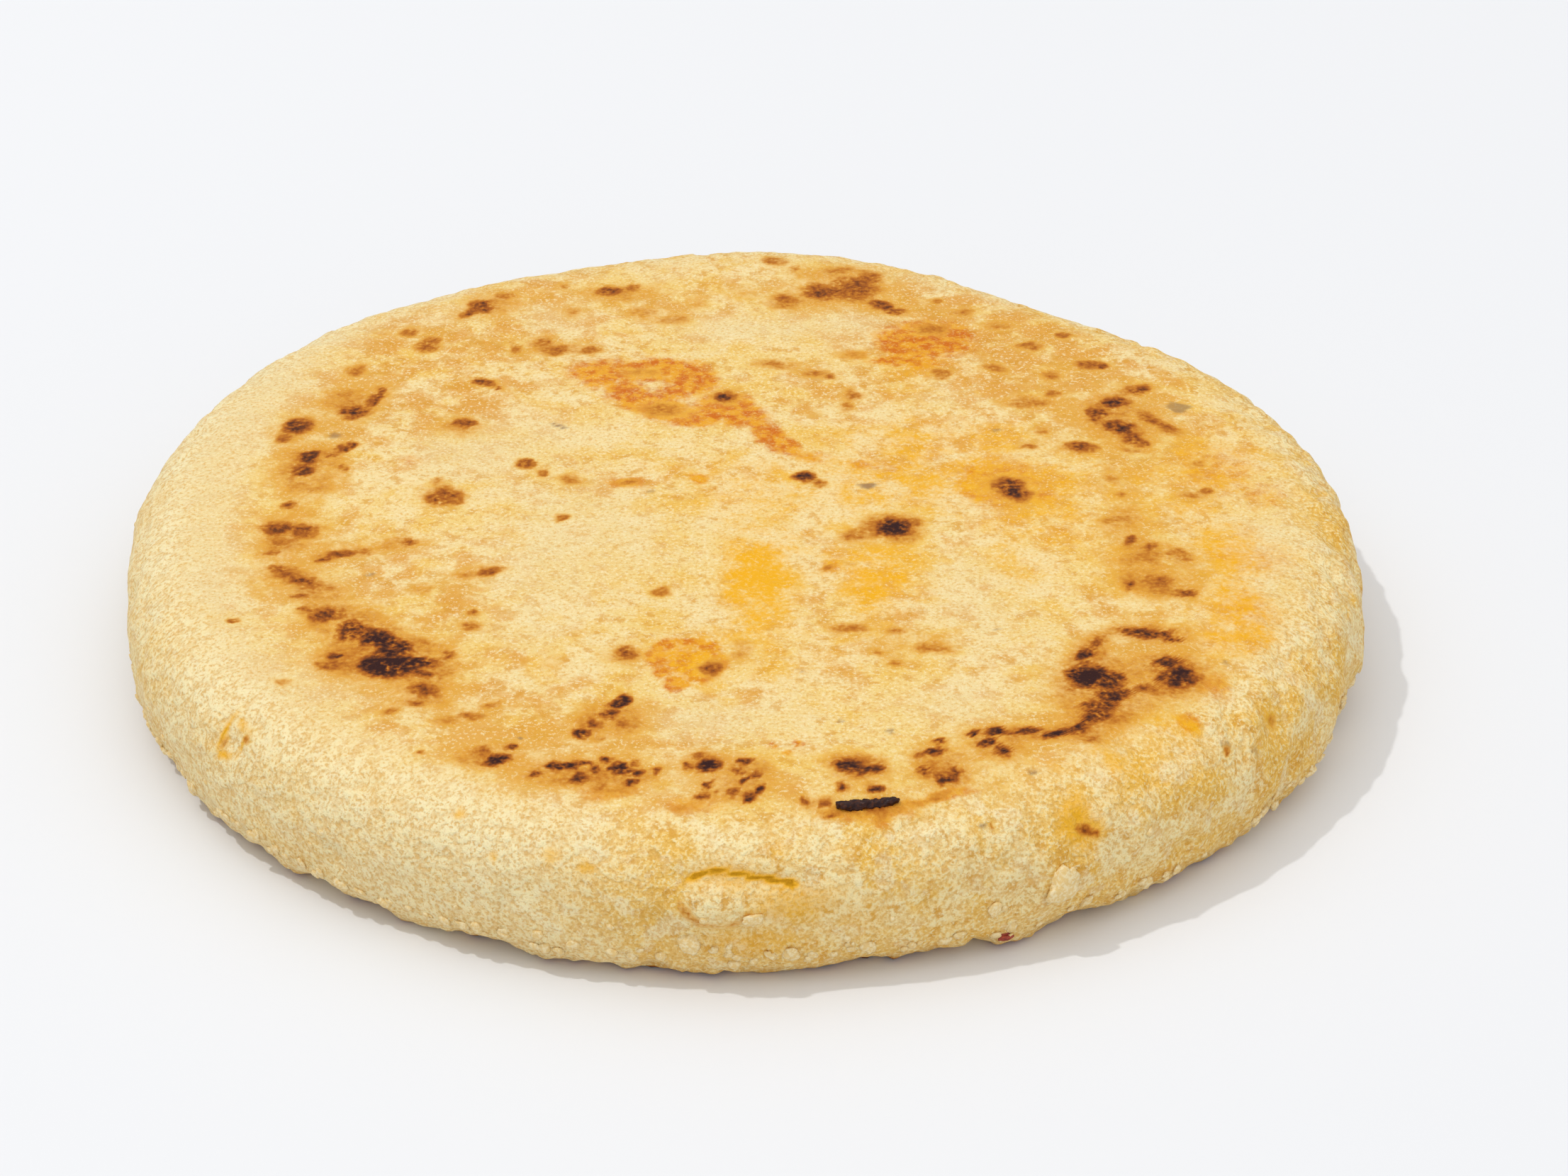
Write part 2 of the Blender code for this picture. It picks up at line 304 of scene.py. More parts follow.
SCORCHES = {
    "front_left_char": (
        (-39, -22.5, 3.9, 3.4, 0, 0.65),
        (-36.5, -25.5, 3.4, 3.4, 0, 0.9),
        (-34, -27, 4.7, 2.9, -35, 0.93),
        (-32, -29, 3.4, 2.8, 0, 0.89),
        (-32, -31.8, 5.8, 4.5, -15, 0.98),
        (-29, -31, 3.6, 1.8, 5, 0.87),
        (-27, -30, 1.8, 2.2, 0, 0.6),
        (-37.5, -29.8, 1.8, 1.2, 0, 0.74),
        (-38, -31.5, 3.4, 2.2, 0, 0.55),
        (-29.5, -33, 3.4, 2.2, 0, 0.69),
        (-28.5, -36, 3.4, 2.8, 0, 0.6),
        (-29, -38, 2.2, 1.3, 0, 0.5),
        (-33, -30, 16.8, 11.2, -45, 0.36),
        (-31.5, -39.5, 1.7, 1.7, 0, 0.45),
        (-42, -34.3, 1.6, 1.1, 0, 0.4),
    ),
    "left_freckles": (
        (-46, -6, 3.8, 3, 0, 0.63),
        (-43.5, -6.4, 3.8, 3.2, 20, 0.63),
        (-45, -8.5, 3.8, 2.5, 0, 0.45),
        (-46, -10.8, 2, 1.5, 0, 0.5),
        (-41, -12, 1.5, 1.2, 0, 0.63),
        (-39.5, -11, 3.8, 1.9, 10, 0.5),
        (-37, -10.5, 2.5, 2, 0, 0.45),
        (-32.5, -9, 1.5, 2, 0, 0.6),
        (-33.5, -9, 6.2, 3.1, 0, 0.34),
        (-45, -13.8, 2.5, 2, 0, 0.63),
        (-44, -15, 2.5, 2, 0, 0.5),
        (-42, -16, 3.1, 1.8, -20, 0.63),
        (-41, -17.5, 2.5, 2.5, 0, 0.52),
        (-42.3, -19, 2.5, 1.2, 0, 0.56),
        (-39.5, -18, 2.5, 1.9, 0, 0.4),
        (-43, -14.5, 11.2, 12.5, 0, 0.26),
        (-41.5, -21.7, 1.5, 1.1, 0, 0.6),
        (-48, -23.7, 1.1, 1, 0, 0.66),
    ),
    "left_middle": (
        (-24, -15, 3.2, 2, 20, 0.6),
        (-26.5, -15.5, 4.4, 2.5, 15, 0.36),
        (-30, -17.5, 4.4, 2.5, 25, 0.33),
        (-25, -25, 2, 1.9, 0, 0.5),
        (-25, -22.5, 1.1, 1.1, 0, 0.5),
        (-25, -18, 2, 2, 0, 0.3),
        (-30, 0, 3.8, 3.8, 0, 0.58),
        (-30.3, -0.7, 1.6, 1.4, 0, 0.69),
        (-31, 3, 1.9, 1.9, 0, 0.4),
        (-28.5, -1, 2.2, 1.9, 0, 0.5),
        (-22, 7, 2.8, 1.8, -40, 0.6),
        (-20, 4.8, 1.5, 2, 0, 0.5),
        (-17, 3.7, 3.5, 2, -20, 0.34),
        (-11.3, 3.1, 2.5, 1.9, 0, 0.5),
        (-17.7, -4.2, 1.5, 1.5, 0, 0.61),
        (-2.5, 2, 1.1, 1.1, 0, 0.5),
    ),
    "back_left_ring": (
        (-44.5, 8, 2.2, 2.8, 0, 0.79),
        (-45, 5.3, 2.5, 2.8, 0, 0.71),
        (-42.3, 8.7, 1.2, 1.2, 0, 0.63),
        (-41.2, 10.5, 2.8, 1.4, 45, 0.67),
        (-40.7, 6.2, 1.4, 1.4, 0, 0.55),
        (-45.2, -1.5, 1.6, 1.2, 0, 0.56),
        (-44.5, 5, 8.8, 13.8, 0, 0.35),
        (-46.7, 15, 3.2, 3.8, 0, 0.7),
        (-47.8, 12, 2, 2.8, 0, 0.46),
        (-41.3, 18.3, 2.8, 3.2, 0, 0.74),
        (-39, 22, 5, 1.6, 70, 0.66),
        (-42, 21, 6.2, 7.5, 0, 0.38),
        (-38.5, 23.5, 1.6, 1.6, 0, 0.66),
        (-42, 28, 2.8, 3.2, 0, 0.44),
        (-34.7, 34, 2.8, 3.8, 0, 0.62),
        (-37, 37, 2.4, 2.4, 0, 0.5),
        (-40, 37, 2, 2, 0, 0.35),
        (-29.3, 43, 2.8, 2.8, 0, 0.66),
        (-30.8, 41.5, 3.2, 1.6, 70, 0.6),
        (-27, 45.5, 2.8, 2, 0, 0.5),
        (-28, 43.5, 7.5, 6.2, 0, 0.34),
        (-15.3, 47, 2.8, 2.4, 0, 0.66),
        (-12.5, 48, 2.8, 2.5, 0, 0.5),
        (-14, 47, 10, 5.6, 0, 0.35),
        (-20, 48.5, 1.6, 1.6, 0, 0.4),
        (-19, 42, 2.8, 3.8, 0, 0.35),
        (-11, 42, 4, 3.8, 0, 0.38),
        (-8, 40, 5, 2.8, 0, 0.35),
        (-5, 44, 2.8, 3.8, 0, 0.35),
    ),
    "back_left_inner": (
        (-22, 34.5, 2.8, 3.2, 0, 0.5),
        (-20, 32.5, 5, 2.6, 0, 0.48),
        (-16.7, 32.5, 3.2, 2.4, 0, 0.54),
        (-25, 33, 2, 3.8, 0, 0.4),
        (-27.8, 25, 2.8, 1.6, -30, 0.63),
        (-26, 23.5, 2.1, 1.1, -45, 0.56),
        (-29.2, 16, 2.6, 2.4, 0, 0.63),
        (-29.5, 15, 5.2, 5.2, 0, 0.33),
        (-8, 18.5, 5, 3.1, 0, 0.46),
        (-1.5, 21.5, 2.9, 2.6, 0, 0.67),
        (-11, 27, 3.8, 2.5, 0, 0.38),
        (7, 4.5, 2.2, 2.1, 0, 0.74),
        (8.5, 3.2, 2.1, 1.6, -40, 0.52),
    ),
    "back_patch": (
        (9.5, 47, 5.2, 5, 0, 0.58),
        (12.5, 47.5, 6.5, 6.2, 0, 0.61),
        (14.5, 50.5, 4, 5, 0, 0.5),
        (11.5, 52.5, 6.2, 2.8, 0, 0.37),
        (16, 43.8, 3.4, 2, -40, 0.6),
        (17.5, 42.2, 2.6, 2, 0, 0.63),
        (5, 44.5, 5.2, 5, 0, 0.42),
        (3.8, 55, 2.8, 3.2, 0, 0.45),
        (6, 53, 2, 2.6, 0, 0.4),
        (0.5, 47, 6.2, 5, 0, 0.26),
        (21.3, 37.7, 4, 3.2, 0, 0.48),
        (25, 42, 3.8, 2.6, 0, 0.38),
        (22, 45, 1.8, 1.8, 0, 0.42),
        (29, 38.5, 3.8, 2.5, 0, 0.38),
        (36, 36, 2.1, 2, 0, 0.5),
        (32, 33.3, 3.2, 2.6, 0, 0.5),
        (28, 28, 3.2, 2.6, 0, 0.4),
        (34, 26.5, 2.6, 2.5, 0, 0.42),
        (38.5, 28.8, 3.8, 2.4, 0, 0.5),
        (39.8, 28.3, 1.5, 1.4, 0, 0.6),
    ),
    "back_middle": (
        (22, 26.7, 2.4, 2.6, 0, 0.55),
        (12.5, 31.3, 4.5, 2.5, 0, 0.36),
        (3.5, 29, 6.2, 2.6, 0, 0.4),
        (8, 27, 3.9, 2, 0, 0.42),
        (10, 26, 1.6, 1.6, 0, 0.5),
        (12.3, 22, 2.6, 2.5, 0, 0.42),
        (11.5, 19.3, 1.8, 2.6, 0, 0.45),
        (7.5, 18, 3.2, 1.6, 0, 0.33),
    ),
    "right_stripes": (
        (40.5, 20, 3.2, 2.6, 0, 0.74),
        (43, 23, 3.8, 2, 40, 0.63),
        (38.3, 17.3, 2.6, 3.2, 0, 0.69),
        (40.5, 14.5, 4, 2.5, -50, 0.69),
        (42, 12, 3.8, 2.5, -60, 0.63),
        (41.5, 9.8, 2.6, 1.5, 0, 0.45),
        (44.5, 16, 7.5, 2.5, -50, 0.5),
        (41, 16, 12.5, 17.5, 0, 0.3),
        (31, 20, 6.2, 2.6, 0, 0.42),
        (34.2, 22.3, 2.6, 2.5, 0, 0.45),
        (30.8, 10.5, 2.1, 1.9, 0, 0.5),
        (36, 10.3, 3.8, 2.6, 0, 0.63),
        (32.3, 14, 2, 2.6, 0, 0.38),
        (28.2, 1.8, 2.9, 5.2, 22, 0.8),
        (27.5, 2.5, 5, 6.5, 0, 0.3),
        (46.5, 0.5, 3.8, 1.8, 0, 0.4),
        (48.3, 1.3, 1.8, 1.5, 0, 0.5),
        (48, 7.3, 2.1, 1.8, 0, 0.4),
        (38.5, 3.3, 3.2, 3.2, 0, 0.34),
        (39.7, 0.3, 1.5, 1.5, 0, 0.45),
        (38.5, -4.8, 4, 2.2, 0, 0.43),
        (39, -5, 5, 9, -15, 0.36),
        (41.5, -12, 7, 7, 0, 0.36),
        (42.5, -17.5, 7, 6, 0, 0.38),
        (39.7, -8.3, 1.8, 1.6, 0, 0.55),
        (41.3, -10, 1.6, 1.5, 0, 0.5),
        (44, -11.8, 3.2, 2.6, 0, 0.5),
        (40, -12.5, 6.2, 2.6, 0, 0.35),
        (41.5, -16.5, 4, 3.2, 0, 0.5),
        (38.9, -17.3, 1.2, 1.9, 0, 0.6),
        (44, -19, 2.1, 1.5, 0, 0.63),
    ),
    "middle": (
        (15.8, -6, 3.1, 3.8, 0, 0.94),
        (15.8, -6, 6.5, 5.9, 0, 0.5),
        (11.8, -7.5, 3, 2.7, 0, 0.46),
        (9, -13.8, 1.5, 1.3, 0, 0.46),
        (11.5, -13, 1.5, 1.3, 0, 0.34),
        (-7, -18, 2.2, 1.8, 0, 0.42),
        (11, -25, 4.3, 1.8, 0, 0.44),
        (15.5, -25.5, 2.4, 1.5, 0, 0.44),
        (19, -28.7, 4.3, 2.4, -10, 0.44),
        (13.7, -29.3, 1.5, 1.3, 0, 0.4),
        (15.5, -31, 1.9, 1.6, 0, 0.36),
        (17, -27.5, 8.6, 6.5, 0, 0.24),
        (0.8, -29, 2.8, 4.3, 0, 0.34),
        (-10.2, -29.5, 2.4, 2.5, 0, 0.62),
        (-10.4, -29.8, 4.3, 4.3, 0, 0.34),
        (-1.8, -32, 2.7, 3.2, 0, 0.55),
        (-17, -31, 4.3, 2.2, 70, 0.25),
    ),
    "front_right_char": (
        (33.3, -33.5, 4, 3.7, 0, 0.98),
        (35.3, -34, 2.9, 2.9, 0, 0.93),
        (35.5, -36.5, 3.6, 2.9, 0, 0.9),
        (34, -38.5, 3.6, 2.9, 0, 0.86),
        (33.5, -40, 2.9, 2.5, 0, 0.84),
        (32, -42, 3, 1.5, 35, 0.79),
        (29.8, -43.2, 3, 1.2, 20, 0.86),
        (32.5, -44, 2.4, 1.5, 0, 0.5),
        (33.5, -37, 8.4, 14.6, 0, 0.4),
        (42, -33.5, 2.9, 3.5, 0, 0.98),
        (41, -31.2, 3.5, 1.6, 0, 0.79),
        (40.2, -33.3, 1.9, 1.8, 0, 0.69),
        (38.5, -35.2, 2.5, 2.2, 0, 0.58),
        (41.5, -33.5, 8.4, 8.4, 0, 0.43),
        (38.5, -25.7, 3.6, 1.6, 0, 0.75),
        (40.5, -26, 2.5, 1.3, 0, 0.86),
        (42, -27, 2.5, 1.3, -20, 0.75),
        (34.5, -27.8, 1.9, 1.2, 60, 0.65),
        (33.3, -29.3, 1.6, 2.2, 0, 0.79),
        (33.2, -31, 1.1, 1.3, 0, 0.6),
        (39.5, -26.3, 9, 4.5, -10, 0.36),
    ),
    "front_ring_left": (
        (-10.3, -38, 2.4, 1.4, 70, 0.89),
        (-11, -40, 1.8, 1.7, 0, 0.84),
        (-12.5, -41.5, 1.1, 1.1, 0, 0.6),
        (-13.4, -43, 1.5, 1.4, 0, 0.89),
        (-12, -44, 1.3, 1.3, 0, 0.45),
        (-10, -41.5, 1.3, 2.2, 0, 0.5),
        (-11, -41, 7.6, 6.5, 30, 0.36),
        (-22, -38.3, 2.4, 1.5, 0, 0.45),
        (-24, -40.3, 2.8, 1.7, 0, 0.5),
        (-26, -41, 3.2, 2.2, 0, 0.38),
        (-28, -46, 1.1, 1.1, 0, 0.5),
        (-22.5, -46, 2.4, 1.7, 0, 0.56),
        (-20.7, -47.2, 2.1, 1.7, 0, 0.92),
        (-20, -45.2, 1, 1, 0, 0.76),
        (-21.5, -46.5, 8.1, 4.9, 0, 0.36),
        (-17.3, -49.5, 1.6, 0.9, 0, 0.84),
        (-15, -48.3, 2.8, 1.3, 0, 0.92),
        (-13.2, -48, 1.7, 1.1, 0, 0.89),
        (-12, -48.8, 1.3, 1.2, 0, 0.76),
        (-13.2, -50, 1.5, 1.4, 0, 0.71),
        (-11.5, -51.3, 1, 0.9, 0, 0.6),
        (-11, -47.3, 1.3, 1, 0, 0.89),
        (-9.7, -48.3, 1.7, 2.3, 0, 0.92),
        (-8.7, -49, 1.1, 1, 0, 0.89),
        (-8.6, -47.5, 1, 0.9, 0, 0.71),
        (-9, -50.8, 1, 0.9, 0, 0.74),
        (-6.5, -48.6, 1, 0.9, 0, 0.71),
        (-12.5, -49.4, 14, 5.6, 0, 0.37),
        (-10.5, -52, 4.9, 1.8, 0, 0.34),
    ),
    "front_ring_middle": (
        (-4, -48.2, 1, 0.9, 0, 0.62),
        (-2, -48, 2.3, 2.2, 0, 0.89),
        (-2.7, -46.5, 1.2, 1.1, 0, 0.62),
        (-1.8, -51.3, 1.1, 1, 0, 0.84),
        (-2.5, -52.8, 0.9, 0.8, 0, 0.84),
        (-1, -52.5, 0.9, 0.8, 0, 0.6),
        (-3.2, -54, 4.5, 1.7, 0, 0.33),
        (1.6, -47.7, 1.5, 0.9, 0, 0.75),
        (0.6, -49, 1, 0.9, 0, 0.71),
        (2.2, -49.8, 1, 0.9, 0, 0.71),
        (1.2, -50.8, 1, 0.9, 0, 0.8),
        (2.7, -51.8, 1.1, 1, 0, 0.84),
        (1.8, -53, 1.1, 1, 0, 0.84),
        (0.4, -52.2, 0.9, 0.8, 0, 0.71),
        (0.6, -50.4, 8.1, 8.1, 0, 0.35),
    ),
    "front_ring_right": (
        (22, -43, 1.1, 1, 0, 0.84),
        (24.2, -43, 2.1, 1.2, 0, 0.92),
        (23.5, -44.5, 1.8, 1.5, 0, 0.92),
        (24.7, -45.8, 1.7, 1.6, 0, 0.8),
        (24.6, -45.2, 5.9, 5.9, 0, 0.36),
        (27, -42.7, 3.5, 0.9, 5, 0.71),
        (18.9, -44.4, 1.1, 0.9, 0, 0.8),
        (18.5, -46, 2.4, 1.1, 0, 0.8),
        (17, -46.5, 1, 0.9, 0, 0.62),
        (17.2, -49, 1.3, 1.2, 0, 0.75),
        (19.3, -50.4, 2.4, 1.4, 0, 0.84),
        (20.3, -49.3, 1.3, 1.2, 0, 0.75),
        (19, -48.3, 7, 7.6, 0, 0.36),
        (10.5, -48, 2.1, 2.1, 0, 0.89),
        (11.5, -49, 2.3, 1.3, 0, 0.84),
        (13, -48.8, 1.4, 1.3, 0, 0.8),
        (12, -50, 1, 0.9, 0, 0.6),
        (11.5, -48.6, 7, 5.4, 0, 0.4),
        (13, -51.9, 1, 0.9, 0, 0.96),
        (9.9, -52, 1.1, 1, 0, 0.78),
        (6.5, -53.8, 1.3, 1.2, 0, 0.6),
        (8.5, -53.8, 1.1, 1, 0, 0.65),
        (9, -55.3, 1.8, 1.1, 0, 0.6),
        (12.3, -54.5, 7.4, 2.1, 9, 0.5),
        (17.8, -53, 5.6, 0.9, 18, 0.44),
        (23.3, -51.3, 1.9, 1.7, 0, 0.28),
    ),
}

FAT_STAINS = {
    "long_stain": (
        (-15, 27, 6, 6, 0, 0.75),
        (-11, 27, 5, 4, 0, 0.9),
        (-8, 28.5, 7, 3.4, 0, 0.85),
        (-5, 25, 5, 5, 0, 0.8),
        (-12, 22.5, 5, 4, -40, 0.85),
        (-8.5, 19, 7, 4, -30, 0.95),
        (-7, 22.5, 4, 3, 0, 0.7),
        (-5, 17, 5, 3.6, 0, 1.0),
        (-1.5, 20, 5, 4, 0, 0.9),
        (1, 17, 4, 4.4, -60, 0.8),
        (2.8, 13.8, 5.4, 2.8, -60, 0.75),
        (5, 10.5, 4, 2.6, -45, 0.7),
        (7.5, 8.6, 3.6, 2.2, -20, 0.6),
    ),
    "front_spot": (
        (-7.3, -30.2, 1.5, 3.2, 0, 0.9),
        (-6.4, -28.0, 2.4, 1.3, 35, 0.9),
        (-4.2, -27.3, 2.8, 1.1, 0, 0.9),
        (-2.1, -28.5, 1.7, 2.4, 20, 1.0),
        (-1.5, -31.2, 2.2, 3.6, 0, 1.0),
        (-3.2, -33.4, 2.4, 1.6, -20, 0.9),
        (-5.2, -34.7, 1.9, 1.5, 0, 0.9),
        (-6.7, -32.7, 1.3, 2.0, 30, 0.8),
        (-4.6, -30.6, 5.0, 5.4, 0, 0.55),
    ),
    "back_spot": (
        (20.5, 35, 9, 8, 0, 0.95),
        (17, 29.7, 6, 2, 0, 0.7),
        (20.5, 29.3, 4, 3, 0, 0.6),
        (12.5, 31.3, 4, 2.2, 0, 0.5),
    ),
    "right_spots": (
        (27, 3, 7, 8.6, 0, 0.7),
        (25.4, 5, 3, 3, 0, 0.9),
        (30.5, 0.3, 4, 3, 0, 0.6),
        (50.5, -12, 7, 5, 0, 0.36),
        (49.5, -22, 5, 7, 0, 0.36),
        (46, -28, 4, 4, 0, 0.3),
        (49.5, -27, 4, 4, 0, 0.26),
        (44.8, -34.6, 3, 3.4, 0, 0.7),
        (42, -40.3, 2.0, 2.4, 0, 1.0),
        (49.5, 6, 8, 9, 0, 0.34),
        (54, 1, 4, 6, 0, 0.3),
        (13.5, 7, 3.4, 2.2, 0, 0.4),
        (16, 6, 2, 2, 0, 0.4),
        (9.4, -13.6, 2.2, 2, 0, 0.6),
        (38.9, -17.3, 2, 2.2, 0, 0.7),
    ),
    "small_spots": (
        (-11.3, 3.1, 2.8, 2.2, 0, 0.9),
        (-4, 3.8, 1.8, 1.6, 0, 0.7),
        (-34, 7.5, 2.4, 2.2, 0, 0.35),
        (6.2, -44.7, 0.9, 0.8, 0, 0.8),
        (5.5, -45.8, 0.8, 0.8, 0, 0.6),
        (3.8, -45, 0.8, 0.8, 0, 0.6),
        (12.3, -54.8, 7.2, 1.9, 9, 0.8),
        (9.5, -55, 1.7, 1.2, 0, 1.0),
        (18.6, -52.8, 7, 0.9, 18, 0.9),
        (-10.5, -52, 5, 2, 0, 0.5),
        (-3.2, -54, 5, 2, 0, 0.5),
    ),
}

BUTTER_STAINS = {
    "middle": (
        (1.6, -15, 4, 8, 0, 0.8),
        (3.2, -16, 4.6, 8, 0, 0.5),
        (2.3, -12, 6.5, 7, 0, 0.4),
        (-4.6, -30.8, 6.5, 7, 0, 0.45),
        (1.5, -20.5, 5, 5, 0, 0.62),
        (3, -25, 6, 6, 0, 0.3),
        (13.5, -16, 7, 10, 0, 0.72),
        (14, -28, 14, 10, 0, 0.2),
        (14.5, -9.5, 6, 5, 0, 0.35),
        (-1, -26, 5, 4, 0, 0.2),
        (-17, -31, 4, 7, 0, 0.25),
        (-15, 27, 7, 7, 0, 0.3),
        (-4, 5, 18, 6, 0, 0.2),
        (12, 2, 18, 14, 0, 0.34),
        (12, 18, 16, 10, 0, 0.1),
        (0, -2, 12, 10, 0, 0.24),
        (2, -31, 12, 7, 0, 0.22),
    ),
    "right": (
        (25, 5, 17, 14, 0, 0.32),
        (46, 4, 15, 22, 0, 0.32),
        (31, -3, 9, 10, -40, 0.36),
        (18, 14, 26, 16, 0, 0.06),
        (50, -11.5, 8, 9, 0, 0.5),
        (49, -22, 6, 10, 0, 0.54),
        (29, -14, 11, 9, 0, 0.26),
        (50, 8, 8, 9, 0, 0.24),
        (46, -28, 7, 6, 0, 0.34),
        (39, -8, 8, 14, 0, 0.25),
        (40, -41, 12, 8, 45, 0.28),
        (31, -48, 16, 7, 30, 0.28),
        (24, 12, 16, 12, 0, 0.2),
        (22, 28, 12, 8, 0, 0.3),
        (42, -20, 8, 8, 0, 0.3),
    ),
}

# Wide, faint browning, where the skin came near the iron: the ring inside the shoulder, and the back and
# right.
TOASTED = (
    (-43, 20, 10, 16, -20, 0.32),
    (-45, 7, 10, 14, 0, 0.22),
    (-45, -6, 11, 11, 0, 0.2),
    (-42, -17, 12, 12, 0, 0.2),
    (-36, 35, 12, 12, 0, 0.28),
    (-27, 43, 16, 9, 30, 0.2),
    (-13, 46, 20, 9, 0, 0.22),
    (-9, 41, 16, 7, 0, 0.16),
    (-29, 24, 14, 12, 0, 0.16),
    (-21, 33, 14, 6, 0, 0.2),
    (-29, 18, 12, 12, 0, 0.2),
    (10, 47, 18, 12, 0, 0.24),
    (20, 41, 12, 12, 0, 0.32),
    (29, 42, 14, 10, -30, 0.2),
    (34, 32, 14, 15, 0, 0.26),
    (39, 23, 15, 14, 0, 0.2),
    (42, 15, 14, 16, 0, 0.22),
    (46, 4, 14, 14, 0, 0.16),
    (40, -7, 9, 16, 0, 0.2),
    (42, -17, 11, 12, 0, 0.24),
    (22, 27, 10, 9, 0, 0.2),
    (8, 27, 18, 8, 0, 0.16),
    (11, 20, 11, 9, 0, 0.18),
    (30, 18, 14, 11, 0, 0.12),
    (28, 3, 14, 12, 0, 0.18),
    (-20, 5, 18, 10, -20, 0.1),
    (-5, 3, 20, 7, 0, 0.12),
    (-34, -11, 14, 9, 0, 0.14),
    (-26, -17, 16, 10, 20, 0.16),
    (-25, -26, 8, 8, 0, 0.1),
    (15, -28, 15, 11, 0, 0.2),
    (-2, -29, 14, 9, 0, 0.14),
    (13, -8, 10, 9, 0, 0.14),
    (-25, -41, 14, 9, -30, 0.22),
    (-14, -45, 18, 12, -10, 0.22),
    (-12, -50, 20, 8, 0, 0.18),
    (0, -50, 12, 8, 0, 0.14),
    (11, -51, 13, 8, 0, 0.14),
    (20, -47, 12, 9, 20, 0.16),
    (13.5, -16, 8, 10, 0, 0.14),
    (29, -43, 12, 9, 35, 0.24),
    (37, -36, 16, 16, 0, 0.18),
    (-33, -31, 16, 18, -45, 0.16),
    (-39, -31, 9, 9, 0, 0.26),
    (41, -31, 9, 9, 0, 0.26),
    (-11, -40, 10, 8, 0, 0.22),
    (19, 10, 10, 7, 0, 0.2),
    (30, 0, 8, 8, 0, 0.16),
)

# Dry and pale, where the iron never touched: the rim, most of it on the left, and patches between the marks.
# On the left rim and the wall below it, on the lamp's side, the paleness is partly painted lamp light.
PALE_AND_LAMP_LIT_PLACES = (
    (-54, -14, 9, 20, 20, 0.85),
    (-56, 4, 10, 26, 0, 1.0),
    (-53, 22, 9, 20, -20, 0.9),
    (-47, 36, 9, 14, -35, 0.6),
    (-44, -34, 10, 18, 45, 0.65),
    (-46, -37, 9, 18, 45, 0.5),
    (-16, -57, 15, 7, -12, 0.6),
    (26, -52, 10, 6, 25, 0.4),
    (-30, -52, 20, 10, -30, 0.7),
    (-20, 14, 12, 12, 0, 0.5),
    (-12, -10, 14, 16, 0, 0.5),
    (0, 38, 16, 7, 0, 0.7),
    (-30, 8, 9, 9, 0, 0.5),
    (24, -20, 10, 14, 0, 0.5),
    (21, -38, 12, 7, 0, 0.6),
    (-1, -41, 12, 6, 0, 0.7),
    (-18, -2, 10, 10, 0, 0.4),
    (-20, -26, 9, 8, 0, 0.4),
    (12, 39, 9, 6, 0, 0.5),
    (21, 21, 8, 6, 0, 0.5),
    (-20, -15, 10, 14, 0, 0.5),
    (-21, 41, 9, 6, 0, 0.5),
    (-32, 42, 9, 6, 40, 0.45),
    (-9, 51, 9, 5, 0, 0.4),
    (21, 50, 9, 5, -20, 0.4),
    (-28, 11, 9, 7, 0, 0.4),
    (-40, -17, 6, 8, 0, 0.4),
    (54, -10, 7, 16, 0, 0.6),
    (52, -25, 6, 11, -25, 0.45),
    (-40, 48, 28, 9, 40, 0.5),
    (-11, 62, 28, 9, 10, 0.55),
    (16, 61, 28, 9, -15, 0.5),
    (40, 48, 28, 9, -40, 0.55),
    (57, 27, 28, 9, -65, 0.4),
)

# Hulls of corn: small grey-brown flecks in the skin.
HULLS = (
    (13.5, 2.5, 1.6, 0.9, 20, 0.8),
    (-19, 15.2, 2.4, 0.9, -20, 0.7),
    (-42.3, 12.8, 1.8, 1.4, 0, 0.6),
    (47.2, 19.3, 2.2, 1.6, 0, 0.9),
    (34, 26.5, 2, 1.5, 0, 0.5),
    (-36, -14.8, 1, 0.8, 0, 0.6),
    (10, -41, 0.8, 0.7, 0, 0.6),
    (14.5, -42.5, 0.8, 1.2, 0, 0.6),
    (25, -25, 1.2, 0.7, 30, 0.5),
    (6.5, -32.3, 1, 0.7, 0, 0.5),
    (48.7, -40.3, 1.2, 0.8, 0, 0.7),
    (27.5, 14.3, 1.1, 0.9, 0, 0.6),
    (26.8, -49, 0.8, 0.6, 0, 0.7),
    (22.4, -55.2, 0.8, 0.7, 0, 0.6),
    (-19, -43.5, 0.7, 0.6, 0, 0.8),
    (-23.1, -40.3, 0.7, 0.6, 0, 0.9),
    (45.4, -41.6, 1, 0.6, 40, 0.7),
    (46.7, -31.3, 0.6, 0.9, 0, 0.9),
    (-8.5, 1, 0.9, 0.8, 0, 0.6),
)
